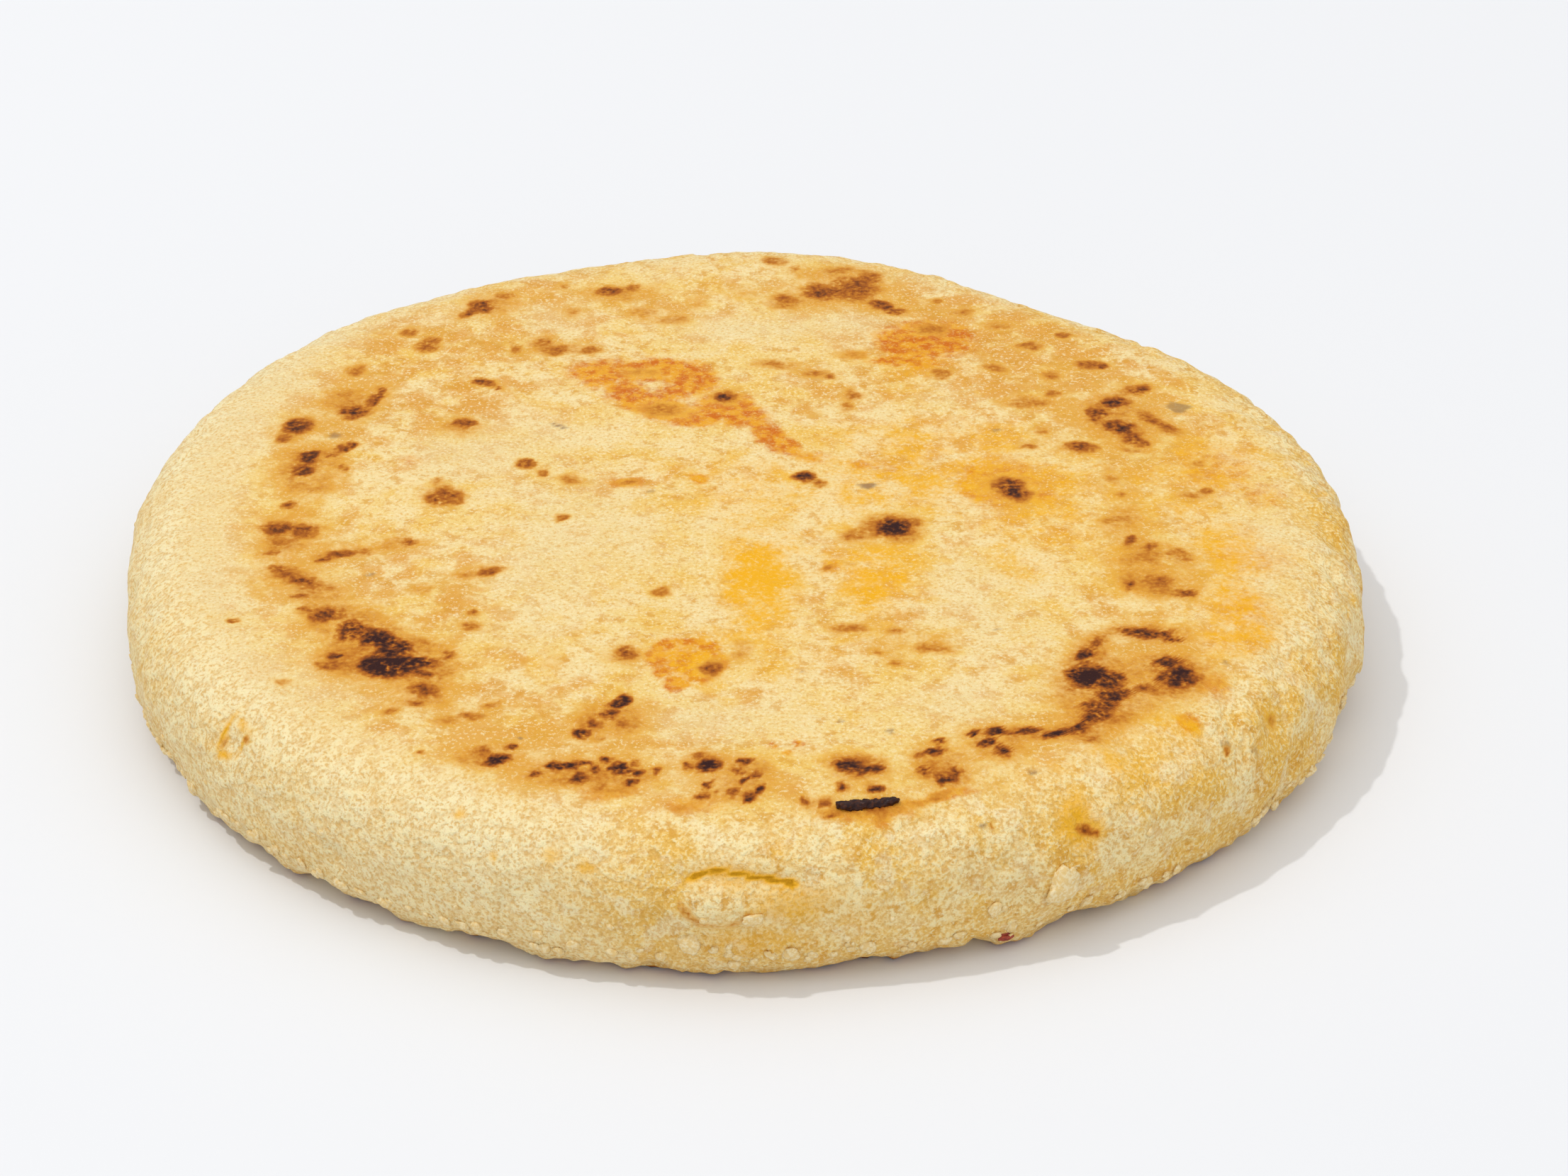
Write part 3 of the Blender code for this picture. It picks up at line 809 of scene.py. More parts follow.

# Ochre flecks and stains on the wall, and a painted highlight on the upper rim of the open pit: angle in
# degrees, height of the middle, width along the wall and height in mm, and strength.
OCHRE_AND_RIM_HIGHLIGHT_PLACES = (
    (246, 13.6, 1.2, 0.8, 0.6),
    (250, 11.5, 1.0, 0.9, 0.5),
    (255, 12.2, 1.6, 0.8, 0.5),
    (257.9, 11.6, 1.8, 1.3, 0.6),
    (260.7, 12, 1.0, 0.9, 0.5),
    (300.8, 11.5, 4.4, 3.6, 0.66),
    (300.7, 12.0, 3.2, 2.4, 0.64),
    # A brighter yellow band on the open pit's upper rim: painted highlight.
    (300.3, 13.6, 2.8, 1.4, 0.35),
    (315.8, 14.3, 1.5, 0.9, 0.66),
    (324.3, 11.9, 2.2, 2.4, 0.66),
    (218.8, 11.7, 0.8, 2.8, 0.8),
    (221.4, 11.6, 0.8, 2.4, 0.7),
    (220.0, 10.1, 2.0, 0.7, 0.7),
    (220.3, 13.1, 1.8, 0.6, 0.6),
    (306.5, 14.6, 2.4, 0.8, 0.5),
    (307, 13.4, 10, 3.2, 0.28),
    (329, 14, 6, 3, 0.24),
    (270.5, 11.6, 9, 2.6, 0.42),
    (272, 5.4, 12, 4.4, 0.38),
    (275.5, 9.2, 9, 4, 0.48),
    (281, 7, 6, 5, 0.3),
    (311, 9, 12, 5, 0.12),
    (316, 13.2, 8, 3.4, 0.16),
    (320, 11, 6, 3.4, 0.24),
    (286, 11.5, 6, 4, 0.2),
    (274.2, 13.4, 2.8, 2.6, 0.34),
    (281, 12, 4, 3, 0.24),
    (298.2, 5.2, 0.9, 0.8, 0.6),
    (320.5, 10, 1.0, 0.9, 0.5),
)

# Browned spots on the wall, given in the same way. The one at 267.6 degrees, under the lump, is partly
# painted shade beneath it; the one at 301.3 degrees darkens the lower corner of the open pit.
BROWN_AND_SHADED_PLACES = (
    (301.3, 11.1, 1.9, 1.3, 0.62),
    (267.6, 7.7, 2.4, 1.4, 0.3),
    (324.6, 11.6, 1.6, 1.8, 0.5),
    (221.7, 12.6, 1.5, 0.8, 0.5),
    (219.2, 11.0, 1.0, 1.6, 0.4),
    (317.3, 12.5, 0.8, 0.7, 0.65),
    (238.5, 14.8, 0.8, 0.7, 0.6),
    (219, 14.8, 0.8, 0.7, 0.5),
    (206.5, 14.8, 0.8, 0.7, 0.5),
    (199, 14.7, 0.8, 0.7, 0.5),
    (293, 13, 0.7, 0.7, 0.6),
    (247.2, 1.0, 3.0, 0.6, 0.25),
)

# Creases in the front of the wall, as lines through points of angle in degrees and height in mm. One has
# opened and shows ochre inside, darkened deep in the crease by painted shade. The other folds under a lump,
# and
# is tan: partly browning and partly painted shade beneath the lump.
OPEN_CREASE = (
    (266.9, 11.3),
    (268.3, 11.8),
    (269.8, 11.9),
    (271.3, 11.6),
    (272.8, 11.2),
    (274.3, 10.9),
    (275.6, 10.8),
)
CREASE_WIDTH, CREASE_STRENGTH = 0.6, 1.0
FOLD_UNDER_LUMP = ((266.1, 9.4), (266.8, 8.3), (268.1, 7.4), (269.6, 7.2), (271.1, 7.8), (271.9, 8.8))
FOLD_WIDTH, FOLD_STRENGTH = 1.1, 0.4
CREASE_OVERLAP = 1.5  # how long each mark is, over the distance between its points

MARK_FADE = 0.55  # how fast a mark fades outwards
CHAR_EDGE = 0.6  # how much harder the edge of a black mark is than that of a faint one
HALO_SHARE, HALO_SPREAD = 0.27, 2.3  # how strong a mark's halo is, and how many times its area
MOST_HALO = 0.34
# How far a mark's edge wanders, and over what width.
MARK_WARP = ((0.55 * MM, 2.4 * MM), (0.4 * MM, 1.1 * MM))
MARK_WARP_SEED = 2
TOP_FROM, TOP_FADE = 9, 3  # the height in mm where the top's marks start, and how much higher they are full

# Where the foot and the underside's rim lay on the iron they browned in patches; along the foot the band is
# also painted shade where the foot meets the floor: how strongly, up to what height in mm, how wide a patch
# is, and how much of it all they cover.
FOOT_BROWN_AND_SHADE, FOOT_BROWN_HEIGHT, FOOT_BROWN_WIDTH, FOOT_BROWN_SHARE = 0.85, 1.0, 5 * MM, 0.8

# The underside's blotches, in mm: what lies lower than UNDERSIDE_TO is underside.
UNDERSIDE_SEED = 11
UNDERSIDE_MARKS = 150
UNDERSIDE_TO, UNDERSIDE_EDGE, UNDERSIDE_RIM = 0.5, 52, 6
BLOTCH_SIZES, BLOTCH_STRENGTHS = (1.2, 3.6), (0.3, 0.62)
EDGE_CHAR = 0.38  # how much stronger they get towards the edge
BLOTCH_LENGTH, TAN_LENGTH, TAN_WIDTH = 1.3, 2.6, 2.2  # a blotch, and the tan one under it, over its size
TAN_STRENGTH = 0.34
UNDERSIDE_TOAST = (0.12, 14)  # how strong the wide browning is, and its area over a blotch's


def apart(along, across, mark):
    """How far each place is from a mark's middle, squared: 1 at its edge."""
    x, y, length, width, turn, _ = mark
    cosine, sine = math.cos(math.radians(turn)), math.sin(math.radians(turn))
    right, back = along - x, across - y
    u = (right * cosine + back * sine) / (length / 2)
    v = (back * cosine - right * sine) / (width / 2)
    return u * u + v * v


def spots(along, across, marks):
    """The strongest mark at each place. Black marks have harder edges than tan ones."""
    found = np.zeros(len(along))
    for mark in marks:
        strength = mark[-1]
        far = apart(along, across, mark) ** (1 + CHAR_EDGE * strength)
        found = np.maximum(found, strength * np.exp(-MARK_FADE * far))
    return found


def glow(along, across, marks, share=1.0, spread=1.0):
    """Soft, wide marks that add up where they overlap."""
    clean = np.ones(len(along))
    for mark in marks:
        clean *= 1 - share * mark[-1] * np.exp(-MARK_FADE * apart(along, across, mark) / spread)
    return 1 - clean


def all_marks(named):
    return [mark for group in named.values() for mark in group]


def along_wall(turn):
    """The length along the wall in mm, from the turn in radians."""
    return turn % (2 * math.pi) * RADIUS / MM


def wall_marks(places):
    """Marks on the wall, with the angle turned into a length along it."""
    return [(along_wall(math.radians(angle)), z, w, h, 0, s) for angle, z, w, h, s in places]


def crease(points, width, strength):
    """A line of marks on the wall, end to end."""
    line = [(along_wall(math.radians(angle)), z) for angle, z in points]
    for (along, z), (next_along, next_z) in zip(line, line[1:]):
        length = CREASE_OVERLAP * math.hypot(next_along - along, next_z - z)
        turn = math.degrees(math.atan2(next_z - z, next_along - along))
        yield (along + next_along) / 2, (z + next_z) / 2, length, width, turn, strength


def underside_marks():
    """The side that was cooked first: blotches all over, darkest towards the edge, each on a tan one."""
    draw = random.Random(UNDERSIDE_SEED)
    for _ in range(UNDERSIDE_MARKS):
        out = UNDERSIDE_EDGE * math.sqrt(draw.uniform(0.02, 1))
        angle = draw.uniform(0, 2 * math.pi)
        size = draw.uniform(*BLOTCH_SIZES)
        strength = draw.uniform(*BLOTCH_STRENGTHS)
        strength += EDGE_CHAR * draw.random() * (out / UNDERSIDE_EDGE) ** 4
        x, y = out * math.cos(angle), out * math.sin(angle)
        yield x, y, size * BLOTCH_LENGTH, size, draw.uniform(0, 180), strength
        x += draw.uniform(-1, 1)
        yield x, y, size * TAN_LENGTH, size * TAN_WIDTH, draw.uniform(0, 180), TAN_STRENGTH


def warped(point):
    """A place nudged at random, so that a mark's edge wanders."""
    for far, width in MARK_WARP:
        point = point + far * noise.noise_vector(point / width)
    return point


# Every point of the skin in mm from the patting centre: nudged, and where it is.
noise.seed_set(MARK_WARP_SEED)
skin = [vert.co - PAT_CENTRE for vert in disc.data.vertices]
right, back, up = np.array([warped(point) for point in skin]).T / MM
straight_right, straight_back, height = np.array(skin).T / MM
along = along_wall(np.arctan2(back, right))
straight_along = along_wall(np.arctan2(straight_back, straight_right))
wall = np.array([wall_share(point) for point in skin])
on_top = np.clip((height - TOP_FROM) / TOP_FADE, 0, 1)
below = height < UNDERSIDE_TO

top_marks = all_marks(SCORCHES)
halo = np.minimum(glow(right, back, top_marks, HALO_SHARE, HALO_SPREAD), MOST_HALO)
scorch_and_shade = on_top * np.maximum(spots(right, back, top_marks), halo)
# The fold under the lump: partly browning, partly painted shade beneath the lump.
fold_tan_and_shade = spots(straight_along, height, crease(FOLD_UNDER_LUMP, FOLD_WIDTH, FOLD_STRENGTH))
browned_and_shaded = np.maximum(spots(along, up, wall_marks(BROWN_AND_SHADED_PLACES)), fold_tan_and_shade)
scorch_and_shade = np.maximum(scorch_and_shade, wall * browned_and_shaded)
toast = on_top * glow(right, back, TOASTED)

# A patchy brown band along the foot: browning, and painted shade where the foot meets the floor.
patches = np.array([noise.noise(point / FOOT_BROWN_WIDTH) for point in skin])
patchy = FOOT_BROWN_AND_SHADE * np.clip(FOOT_BROWN_SHARE + patches, 0, 1)
touching = np.clip(1 - height / FOOT_BROWN_HEIGHT, 0, 1)
scorch_and_shade = np.maximum(scorch_and_shade, touching * patchy)

blotches = list(underside_marks())
out = np.hypot(straight_right, straight_back)
in_rim = np.clip((out - UNDERSIDE_EDGE) / UNDERSIDE_RIM, 0, 1)
scorch_below = np.maximum(spots(right, back, blotches), in_rim * patchy)
scorch_and_shade = np.where(below & (wall < 0.5), scorch_below, scorch_and_shade)
toast = np.where(below, glow(right, back, blotches, *UNDERSIDE_TOAST), toast)

ochre_and_rim_highlight = spots(along, up, wall_marks(OCHRE_AND_RIM_HIGHLIGHT_PLACES))
opened = spots(straight_along, height, crease(OPEN_CREASE, CREASE_WIDTH, CREASE_STRENGTH))
painted = {
    "scorch_and_shade": scorch_and_shade,
    "fat": on_top * spots(right, back, all_marks(FAT_STAINS)),
    "butter": on_top * glow(right, back, all_marks(BUTTER_STAINS)),
    "ochre": np.minimum(2 * wall, 1) * np.maximum(ochre_and_rim_highlight, opened),
    "hull": on_top * spots(right, back, HULLS),
    "toast": toast,
    # Pale patches; on the left rim and wall, partly painted lamp light.
    "pale": glow(right, back, PALE_AND_LAMP_LIT_PLACES),
    "wall": wall * np.clip(height / UNDERSIDE_TO, 0, 1),
}
for name, values in painted.items():
    attribute = disc.data.attributes.new(name, "FLOAT", "POINT")
    attribute.data.foreach_set("value", values.astype(np.float32))

# ------------------------------------------------------------------------------------ the dough's surface
# Cooked masa is dull, pale and granular: ground corn with darker hull flecks, a little oil in the skin, and
# drier, paler crumbs on the wall. Colours are as they look in the full light of this studio.

FULL_LIGHT = 1.14  # what a white surface in the open gets, where 1 is the brightest white that shows
SHEEN_LIGHT = 0.012  # what the skin's own slight gloss adds to every colour
DARKEST = 0.004  # no part of a colour is darker than this before the light falls on it


def cooked(red, green, blue):
    """A base colour from the colour that shows in full light, each part from 0 to 255."""

    def linear(part):
        part /= 255
        part = part / 12.92 if part <= 0.04045 else ((part + 0.055) / 1.055) ** 2.4
        return max(part - SHEEN_LIGHT, DARKEST) / FULL_LIGHT

    return (linear(red), linear(green), linear(blue), 1)


def feed(tree, made, inputs):
    """Gives a node its inputs. Each is a number, a colour or the output that it reads."""
    for name, value in inputs.items():
        if isinstance(value, bpy.types.NodeSocket):
            tree.links.new(value, made.inputs[name])
        else:
            made.inputs[name].default_value = value


def node(tree, kind, inputs, **settings):
    """Adds a node, with its settings and its inputs."""
    made = tree.nodes.new("ShaderNode" + kind)
    for name, value in settings.items():
        setattr(made, name, value)
    feed(tree, made, inputs)
    return made


def reckon(tree, how, first, second):
    """One value worked out from two, such as ADD or MULTIPLY."""
    return node(tree, "Math", {0: first, 1: second}, operation=how).outputs[0]


def mix(tree, share, first, second):
    """One colour over another, by a share from 0 to 1."""
    made = node(tree, "Mix", {0: share, 6: first, 7: second}, data_type="RGBA", clamp_factor=True)
    return made.outputs[2]


def step(tree, value, low, high, most=1.0):
    """0 up to low, rising smoothly to most at high. With high below low it falls instead."""
    inputs = {"Value": value, "From Min": low, "From Max": high, "To Max": most}
    made = node(tree, "MapRange", inputs, interpolation_type="SMOOTHSTEP")
    return made.outputs["Result"]


def layered(tree, colour, layers):
    """Colours laid over one another. Each has what it follows, its low, high and most, and its colour."""
    for value, low, high, most, over in layers:
        colour = mix(tree, step(tree, value, low, high, most), colour, over)
    return colour


def specks(tree, where, width, detail, rough):
    """Random blotches of about this width, from 0 to 1."""
    inputs = {"Vector": where, "Scale": 1 / width, "Detail": detail, "Roughness": rough}
    return node(tree, "TexNoise", inputs).outputs[0]


def broken(tree, amount, grain, how_far):
    """An amount with its middle values pushed up and down by the grain, and 0 left at 0."""
    push = reckon(tree, "MULTIPLY", amount, reckon(tree, "SUBTRACT", grain, 0.5))
    return reckon(tree, "ADD", amount, reckon(tree, "MULTIPLY", push, how_far))


def marked(tree, name):
    """How strongly the dough is marked with this."""
    return node(tree, "Attribute", {}, attribute_name=name).outputs["Fac"]


def new_group(name, inputs, outputs):
    """An empty shader group, with (name, kind) for each socket: its tree, what it gets, its output node."""
    tree = bpy.data.node_groups.new(name, "ShaderNodeTree")
    for label, kind in inputs:
        tree.interface.new_socket(label, in_out="INPUT", socket_type="NodeSocket" + kind)
    for label, kind in outputs:
        tree.interface.new_socket(label, in_out="OUTPUT", socket_type="NodeSocket" + kind)
    given = tree.nodes.new("NodeGroupInput")
    return tree, given.outputs, tree.nodes.new("NodeGroupOutput")


def use_group(tree, group, inputs):
    return node(tree, "Group", inputs, node_tree=group).outputs


def new_material(name):
    """A material with a plain Principled surface. Returns the material, its tree and that shader."""
    material = bpy.data.materials.new(name)
    material.use_nodes = True
    return material, material.node_tree, material.node_tree.nodes["Principled BSDF"]


# The grain of ground corn: the width of a blotch, how much finer detail it has, and how rough that is.
GRIT = (0.34 * MM, 2, 0.6)
FLECK = (1.4 * MM, 3, 0.6)
MOTTLE = (5 * MM, 5, 0.62)
FINE_SPECKLE, COARSE_SPECKLE = (0.5 * MM, 1, 0.5), (1.9 * MM, 3, 0.6)
GRAIN_WIDTH, GRAIN_ROUND = 1.0 * MM, 0.8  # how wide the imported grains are, and how far they round off


def ground_corn_group():
    """Ground corn: grit, flecks, larger mottling, blotchy speckle, and the height of it all."""
    sockets = [(name, "Float") for name in ("Grit", "Flecks", "Mottle", "Speckle", "Height")]
    tree, given, wanted = new_group("ground_corn", (("Vector", "Vector"),), sockets)
    where = given["Vector"]
    grit = specks(tree, where, *GRIT)
    fine = reckon(tree, "MULTIPLY", specks(tree, where, *FINE_SPECKLE), 0.5)
    coarse = reckon(tree, "MULTIPLY", specks(tree, where, *COARSE_SPECKLE), 0.5)
    grains = node(tree, "TexVoronoi", {"Vector": where, "Scale": 1 / GRAIN_WIDTH})
    sunk = reckon(tree, "MULTIPLY", grains.outputs["Distance"], GRAIN_ROUND)
    corn = {
        "Grit": grit,
        "Flecks": specks(tree, where, *FLECK),
        "Mottle": specks(tree, where, *MOTTLE),
        "Speckle": reckon(tree, "ADD", fine, coarse),
        "Height": reckon(tree, "SUBTRACT", grit, sunk),
    }
    feed(tree, wanted, corn)
    return tree


# Scorch: how strong, and the colour that it shows.
SCORCH_COLOURS = (
    (0.0, (246, 214, 140)),
    (0.14, (245, 203, 98)),
    (0.28, (232, 168, 66)),
    (0.42, (204, 130, 48)),
    (0.56, (168, 94, 38)),
    (0.7, (122, 68, 36)),
    (0.85, (88, 52, 38)),
    (1.0, (62, 38, 36)),
)
PATCHY_CHAR = 1.5  # how unevenly a mark is cooked
GRAIN_IN_CHAR = 3.4  # tan marks are soft, and the darker they are, the more the grain shows in them


def scorch_group():
    """Colours clean dough by how far it is scorched. The speckle keeps the edges of a mark uneven."""
    inputs = (("Clean", "Color"), ("Scorch", "Float"), ("Speckle", "Float"), ("Mottle", "Float"))
    tree, given, wanted = new_group("scorch_and_shade", inputs, (("Color", "Color"), ("Heat", "Float")))
    patchy_scorch = broken(tree, given["Scorch"], given["Mottle"], PATCHY_CHAR)
    grain_shows = reckon(tree, "MULTIPLY", given["Scorch"], GRAIN_IN_CHAR)
    heat = broken(tree, patchy_scorch, given["Speckle"], grain_shows)
    ramp = node(tree, "ValToRGB", {"Fac": heat})
    stops = ramp.color_ramp.elements
    while len(stops) < len(SCORCH_COLOURS):
        stops.new(0.5)
    for stop, (strength, colour) in zip(stops, SCORCH_COLOURS):
        stop.position = strength
        stop.color = cooked(*colour)
    char = (heat, 0.06, 0.44, 1.0, ramp.outputs["Color"])
    feed(tree, wanted, {"Color": layered(tree, given["Clean"], (char,)), "Heat": heat})
    return tree


ground_corn = ground_corn_group()
scorching = scorch_group()

# Clean skin on the top. The pale skin on the left rim is partly painted lamp light.
CREAM, STRAW, GOLD = cooked(249, 223, 162), cooked(247, 213, 134), cooked(243, 195, 90)
TOASTED_GOLD, TOASTED_FLECK = cooked(228, 160, 64), cooked(222, 158, 56)
PALE_AND_LAMP_LIT_SKIN = cooked(244, 220, 164)
DARK_GRIT, PALE_GRIT = cooked(228, 170, 76), cooked(255, 242, 204)
STRAW_PATCH = (9 * MM, 5, 0.62)
TOAST_PATCH = (3.2 * MM, 4, 0.6)
TOAST_REACH, TOAST_FLECKS = 0.75, 0.22  # how much more likely blotches and flecks are where it is toasted

# Clean dough on the wall, with painted light and shade in it: shade in the crevices between the grains, light
# on their tops, warm floor light low on the wall, and lamp light on the pale left side.
WALL_CREAM, WAXY_YELLOW, LOW_YELLOW_AND_BOUNCE = cooked(255, 233, 174), cooked(246, 196, 88), cooked(248, 206, 120)
OCHRE_FLECK, DULL_FOOT = cooked(222, 158, 50), cooked(236, 200, 134)
PALE_CRUMB, PALE_AND_LAMP_LIT_WALL = cooked(255, 240, 194), cooked(255, 241, 194)
CREVICE_SHADE, GRAIN_TOP_LIGHT = cooked(222, 164, 62), cooked(255, 244, 200)
WALL_DARK_GRIT, WALL_PALE_GRIT = cooked(224, 168, 74), cooked(255, 243, 198)
WAXY_PATCH = (7 * MM, 5, 0.65)
CRUMB_PATCH = (2.8 * MM, 3, 0.5)

# What has soaked in, and what is stuck in it. Pairs say how far speckle and mottling break up the soaking.
FAT_ORANGE, FAT_BROWN, FAT_BREAKS = cooked(240, 168, 48), cooked(214, 112, 8), (1.8, 1.6)
BUTTER_YELLOW, BUTTER_BREAKS = cooked(249, 182, 8), (3.0, 3.2)
GRAIN_IN_FAT, HULL_BROWN = cooked(255, 228, 150), cooked(152, 118, 88)
# The second ochre is darker: painted shade deep in the open crease.
OCHRE, OCHRE_IN_CREASE_SHADE = cooked(250, 184, 24), cooked(198, 142, 30)

DULL, CHAR_GLOSS = 0.62, 0.12  # roughness of clean skin, and how much smoother char is
TOP_GRAIN, GRAIN_DEPTH = 0.4, 0.2 * MM  # the top's grain over the wall's, and how deep the grain is


def top_skin(tree, corn, where):
    """Cream with straw and gold showing through, pale grains, and golden blotches where it is toasted."""
    toasted = marked(tree, "toast")
    likely = reckon(tree, "MULTIPLY", toasted, TOAST_REACH)
    blotch = reckon(tree, "ADD", specks(tree, where, *TOAST_PATCH), likely)
    fleck = reckon(tree, "ADD", corn["Flecks"], reckon(tree, "MULTIPLY", toasted, TOAST_FLECKS))
    layers = (
        (specks(tree, where, *STRAW_PATCH), 0.42, 0.6, 1.0, STRAW),
        (corn["Mottle"], 0.48, 0.64, 0.75, GOLD),
        (blotch, 0.56, 0.8, 0.85, TOASTED_GOLD),
        (fleck, 0.54, 0.7, 0.65, TOASTED_FLECK),
        # Pale where the iron never touched; on the left rim, partly painted lamp light.
        (marked(tree, "pale"), 0.1, 0.9, 0.8, PALE_AND_LAMP_LIT_SKIN),
        (corn["Grit"], 0.46, 0.34, 0.55, DARK_GRIT),
        (corn["Grit"], 0.54, 0.68, 0.6, PALE_GRIT),
    )
    return layered(tree, CREAM, layers)


def wall_skin(tree, corn, where):
    """Dry and pale with yellow zones, crumbs and ochre flecks, and waxy and darker towards the foot. Painted
    shade lies in the grain's crevices, painted light on its tops and on the lamp's side, and painted warm
    floor light low down.
    """
    up_wall = node(tree, "SeparateXYZ", {"Vector": where}).outputs["Z"]
    layers = (
        (specks(tree, where, *WAXY_PATCH), 0.42, 0.6, 0.9, WAXY_YELLOW),
        # Yellower low on the wall: partly the dough's own colour, partly painted warm light bounced up from
        # the floor.
        (up_wall, 8 * MM, 2.5 * MM, 0.7, LOW_YELLOW_AND_BOUNCE),
        (corn["Flecks"], 0.54, 0.64, 0.7, OCHRE_FLECK),
        (specks(tree, where, *CRUMB_PATCH), 0.55, 0.64, 0.6, PALE_CRUMB),
        # Paler near the rim, most of it on the left: there, painted lamp light on the lamp's side.
        (marked(tree, "pale"), 0.05, 0.8, 0.75, PALE_AND_LAMP_LIT_WALL),
        (up_wall, 2.8 * MM, 1.4 * MM, 0.5, DULL_FOOT),
        # Darker where the grain sinks: painted shade in the crevices between the grains.
        (corn["Height"], 0.2, -0.02, 0.3, CREVICE_SHADE),
        (corn["Grit"], 0.5, 0.34, 0.5, WALL_DARK_GRIT),
        # Paler where the grain stands highest: painted light on the grain tops.
        (corn["Height"], 0.24, 0.44, 0.25, GRAIN_TOP_LIGHT),
        (corn["Grit"], 0.5, 0.68, 0.6, WALL_PALE_GRIT),
    )
    return layered(tree, WALL_CREAM, layers)


def soaked(tree, corn, stain, breaks):
    """How far a stain has soaked in between the grains."""
    by_speckle, by_mottle = breaks
    spread = broken(tree, marked(tree, stain), corn["Speckle"], by_speckle)
    return broken(tree, spread, corn["Mottle"], by_mottle)


def corn_grain(tree):
    """Where each point of the piece is, and the ground corn there."""
    where = node(tree, "TexCoord", {}).outputs["Object"]
    return where, use_group(tree, ground_corn, {"Vector": where})


def raised(tree, grain, depth):
    """Which way the surface faces, with its grain standing out this far."""
    return node(tree, "Bump", {"Height": grain, "Strength": 1.0, "Distance": depth}).outputs["Normal"]


def masa_material():
    """Clean dough on the top and the wall, what has soaked into it, and how far it is scorched."""
    material, tree, shader = new_material("griddled_masa")
    where, corn = corn_grain(tree)
    on_wall = marked(tree, "wall")
    ochre = marked(tree, "ochre")
    fat = layered(tree, FAT_ORANGE, ((corn["Flecks"], 0.38, 0.64, 1.0, FAT_BROWN),))
    layers = (
        (on_wall, 0.1, 0.6, 1.0, wall_skin(tree, corn, where)),
        (soaked(tree, corn, "fat", FAT_BREAKS), 0.05, 0.6, 0.95, fat),
        (soaked(tree, corn, "butter", BUTTER_BREAKS), 0.05, 1.0, 0.92, BUTTER_YELLOW),
        (corn["Grit"], 0.52, 0.68, 0.25, GRAIN_IN_FAT),
        (ochre, 0.1, 0.8, 0.95, OCHRE),
        # Darker where the ochre is strongest: painted shade deep in the open crease.
        (ochre, 0.64, 0.88, 0.9, OCHRE_IN_CREASE_SHADE),
        (marked(tree, "hull"), 0.15, 0.7, 0.8, HULL_BROWN),
    )
    inputs = {
        "Clean": layered(tree, top_skin(tree, corn, where), layers),
        # The scorch attribute also carries painted shade in the fold under the lump and along the foot.
        "Scorch": marked(tree, "scorch_and_shade"),
        "Speckle": corn["Speckle"],
        "Mottle": corn["Mottle"],
    }
    scorched = use_group(tree, scorching, inputs)
    gloss = step(tree, scorched["Heat"], 0.3, 0.9, CHAR_GLOSS)
    deep = reckon(tree, "MULTIPLY", corn["Height"], reckon(tree, "ADD", TOP_GRAIN, on_wall))
    surface = {
        "Base Color": scorched["Color"],
        "Roughness": reckon(tree, "SUBTRACT", DULL, gloss),
        "Normal": raised(tree, deep, GRAIN_DEPTH),
        "Specular IOR Level": 0.12,
        "Subsurface Weight": 0.08,
        "Subsurface Radius": (1.0, 0.6, 0.3),
        "Subsurface Scale": 1.2 * MM,
    }
    feed(tree, shader, surface)
    return material


disc.data.materials.append(masa_material())

# --------------------------------------------------------------------------------------- the charred sliver
# A thin roll of dough that tore off, charred through and stuck down again at the front of the top. It is
# beaded, hard and a little shiny.

SLIVER_MIDDLE = Vector((12.3, -54.1, 14.95)) * MM
SLIVER_LENGTH, SLIVER_THICKNESS = 5.8 * MM, 0.88 * MM
SLIVER_TURN = math.radians(9)
SLIVER_BEND = 0.22 * MM
SLIVER_TAPER, SLIVER_BLUNT = 0.16, 6  # how much thinner one end is, and how blunt both are
BEAD_HEIGHT, BEAD_WIDTH = 0.22, 0.4 * MM  # the height over the sliver's thickness
FINE_BEAD_HEIGHT, FINE_BEAD_WIDTH = 0.6, 0.45  # over those of the larger beads
CHAR_GRAIN = 0.12 * MM
CHARRED, CHAR_BLACK, BLACK_SHARE = cooked(120, 70, 44), (0.014, 0.006, 0.008, 1), 0.6


def charred_sliver():
    """A beaded roll with blunt ends, both of them bent up a little."""
    bm = bmesh.new()
    bmesh.ops.create_uvsphere(bm, u_segments=28, v_segments=56, radius=1)
    for vert in bm.verts:
        along = vert.co.z
        ring = max(math.hypot(vert.co.x, vert.co.y), 1e-6)
        thick = SLIVER_THICKNESS / 2 * (1 - along**SLIVER_BLUNT) ** 0.5 * (1 - SLIVER_TAPER * along)
        side = vert.co.x / ring * thick
        up = vert.co.y / ring * thick + SLIVER_BEND * along * along
        vert.co = Vector((along * SLIVER_LENGTH / 2, side, up))
    bm.normal_update()
    for vert in bm.verts:
        fine = noise.noise(vert.co / (BEAD_WIDTH * FINE_BEAD_WIDTH))
        bead = noise.noise(vert.co / BEAD_WIDTH) + FINE_BEAD_HEIGHT * fine
        vert.co += vert.normal * SLIVER_THICKNESS * BEAD_HEIGHT * bead
    bmesh.ops.rotate(bm, verts=bm.verts, matrix=Matrix.Rotation(SLIVER_TURN, 3, "Z"))
    bmesh.ops.translate(bm, verts=bm.verts, vec=SLIVER_MIDDLE + PAT_CENTRE)
    bmesh.ops.recalc_face_normals(bm, faces=bm.faces)
    keep_in_box(bm)
    put_in_order(bm)
    return bm


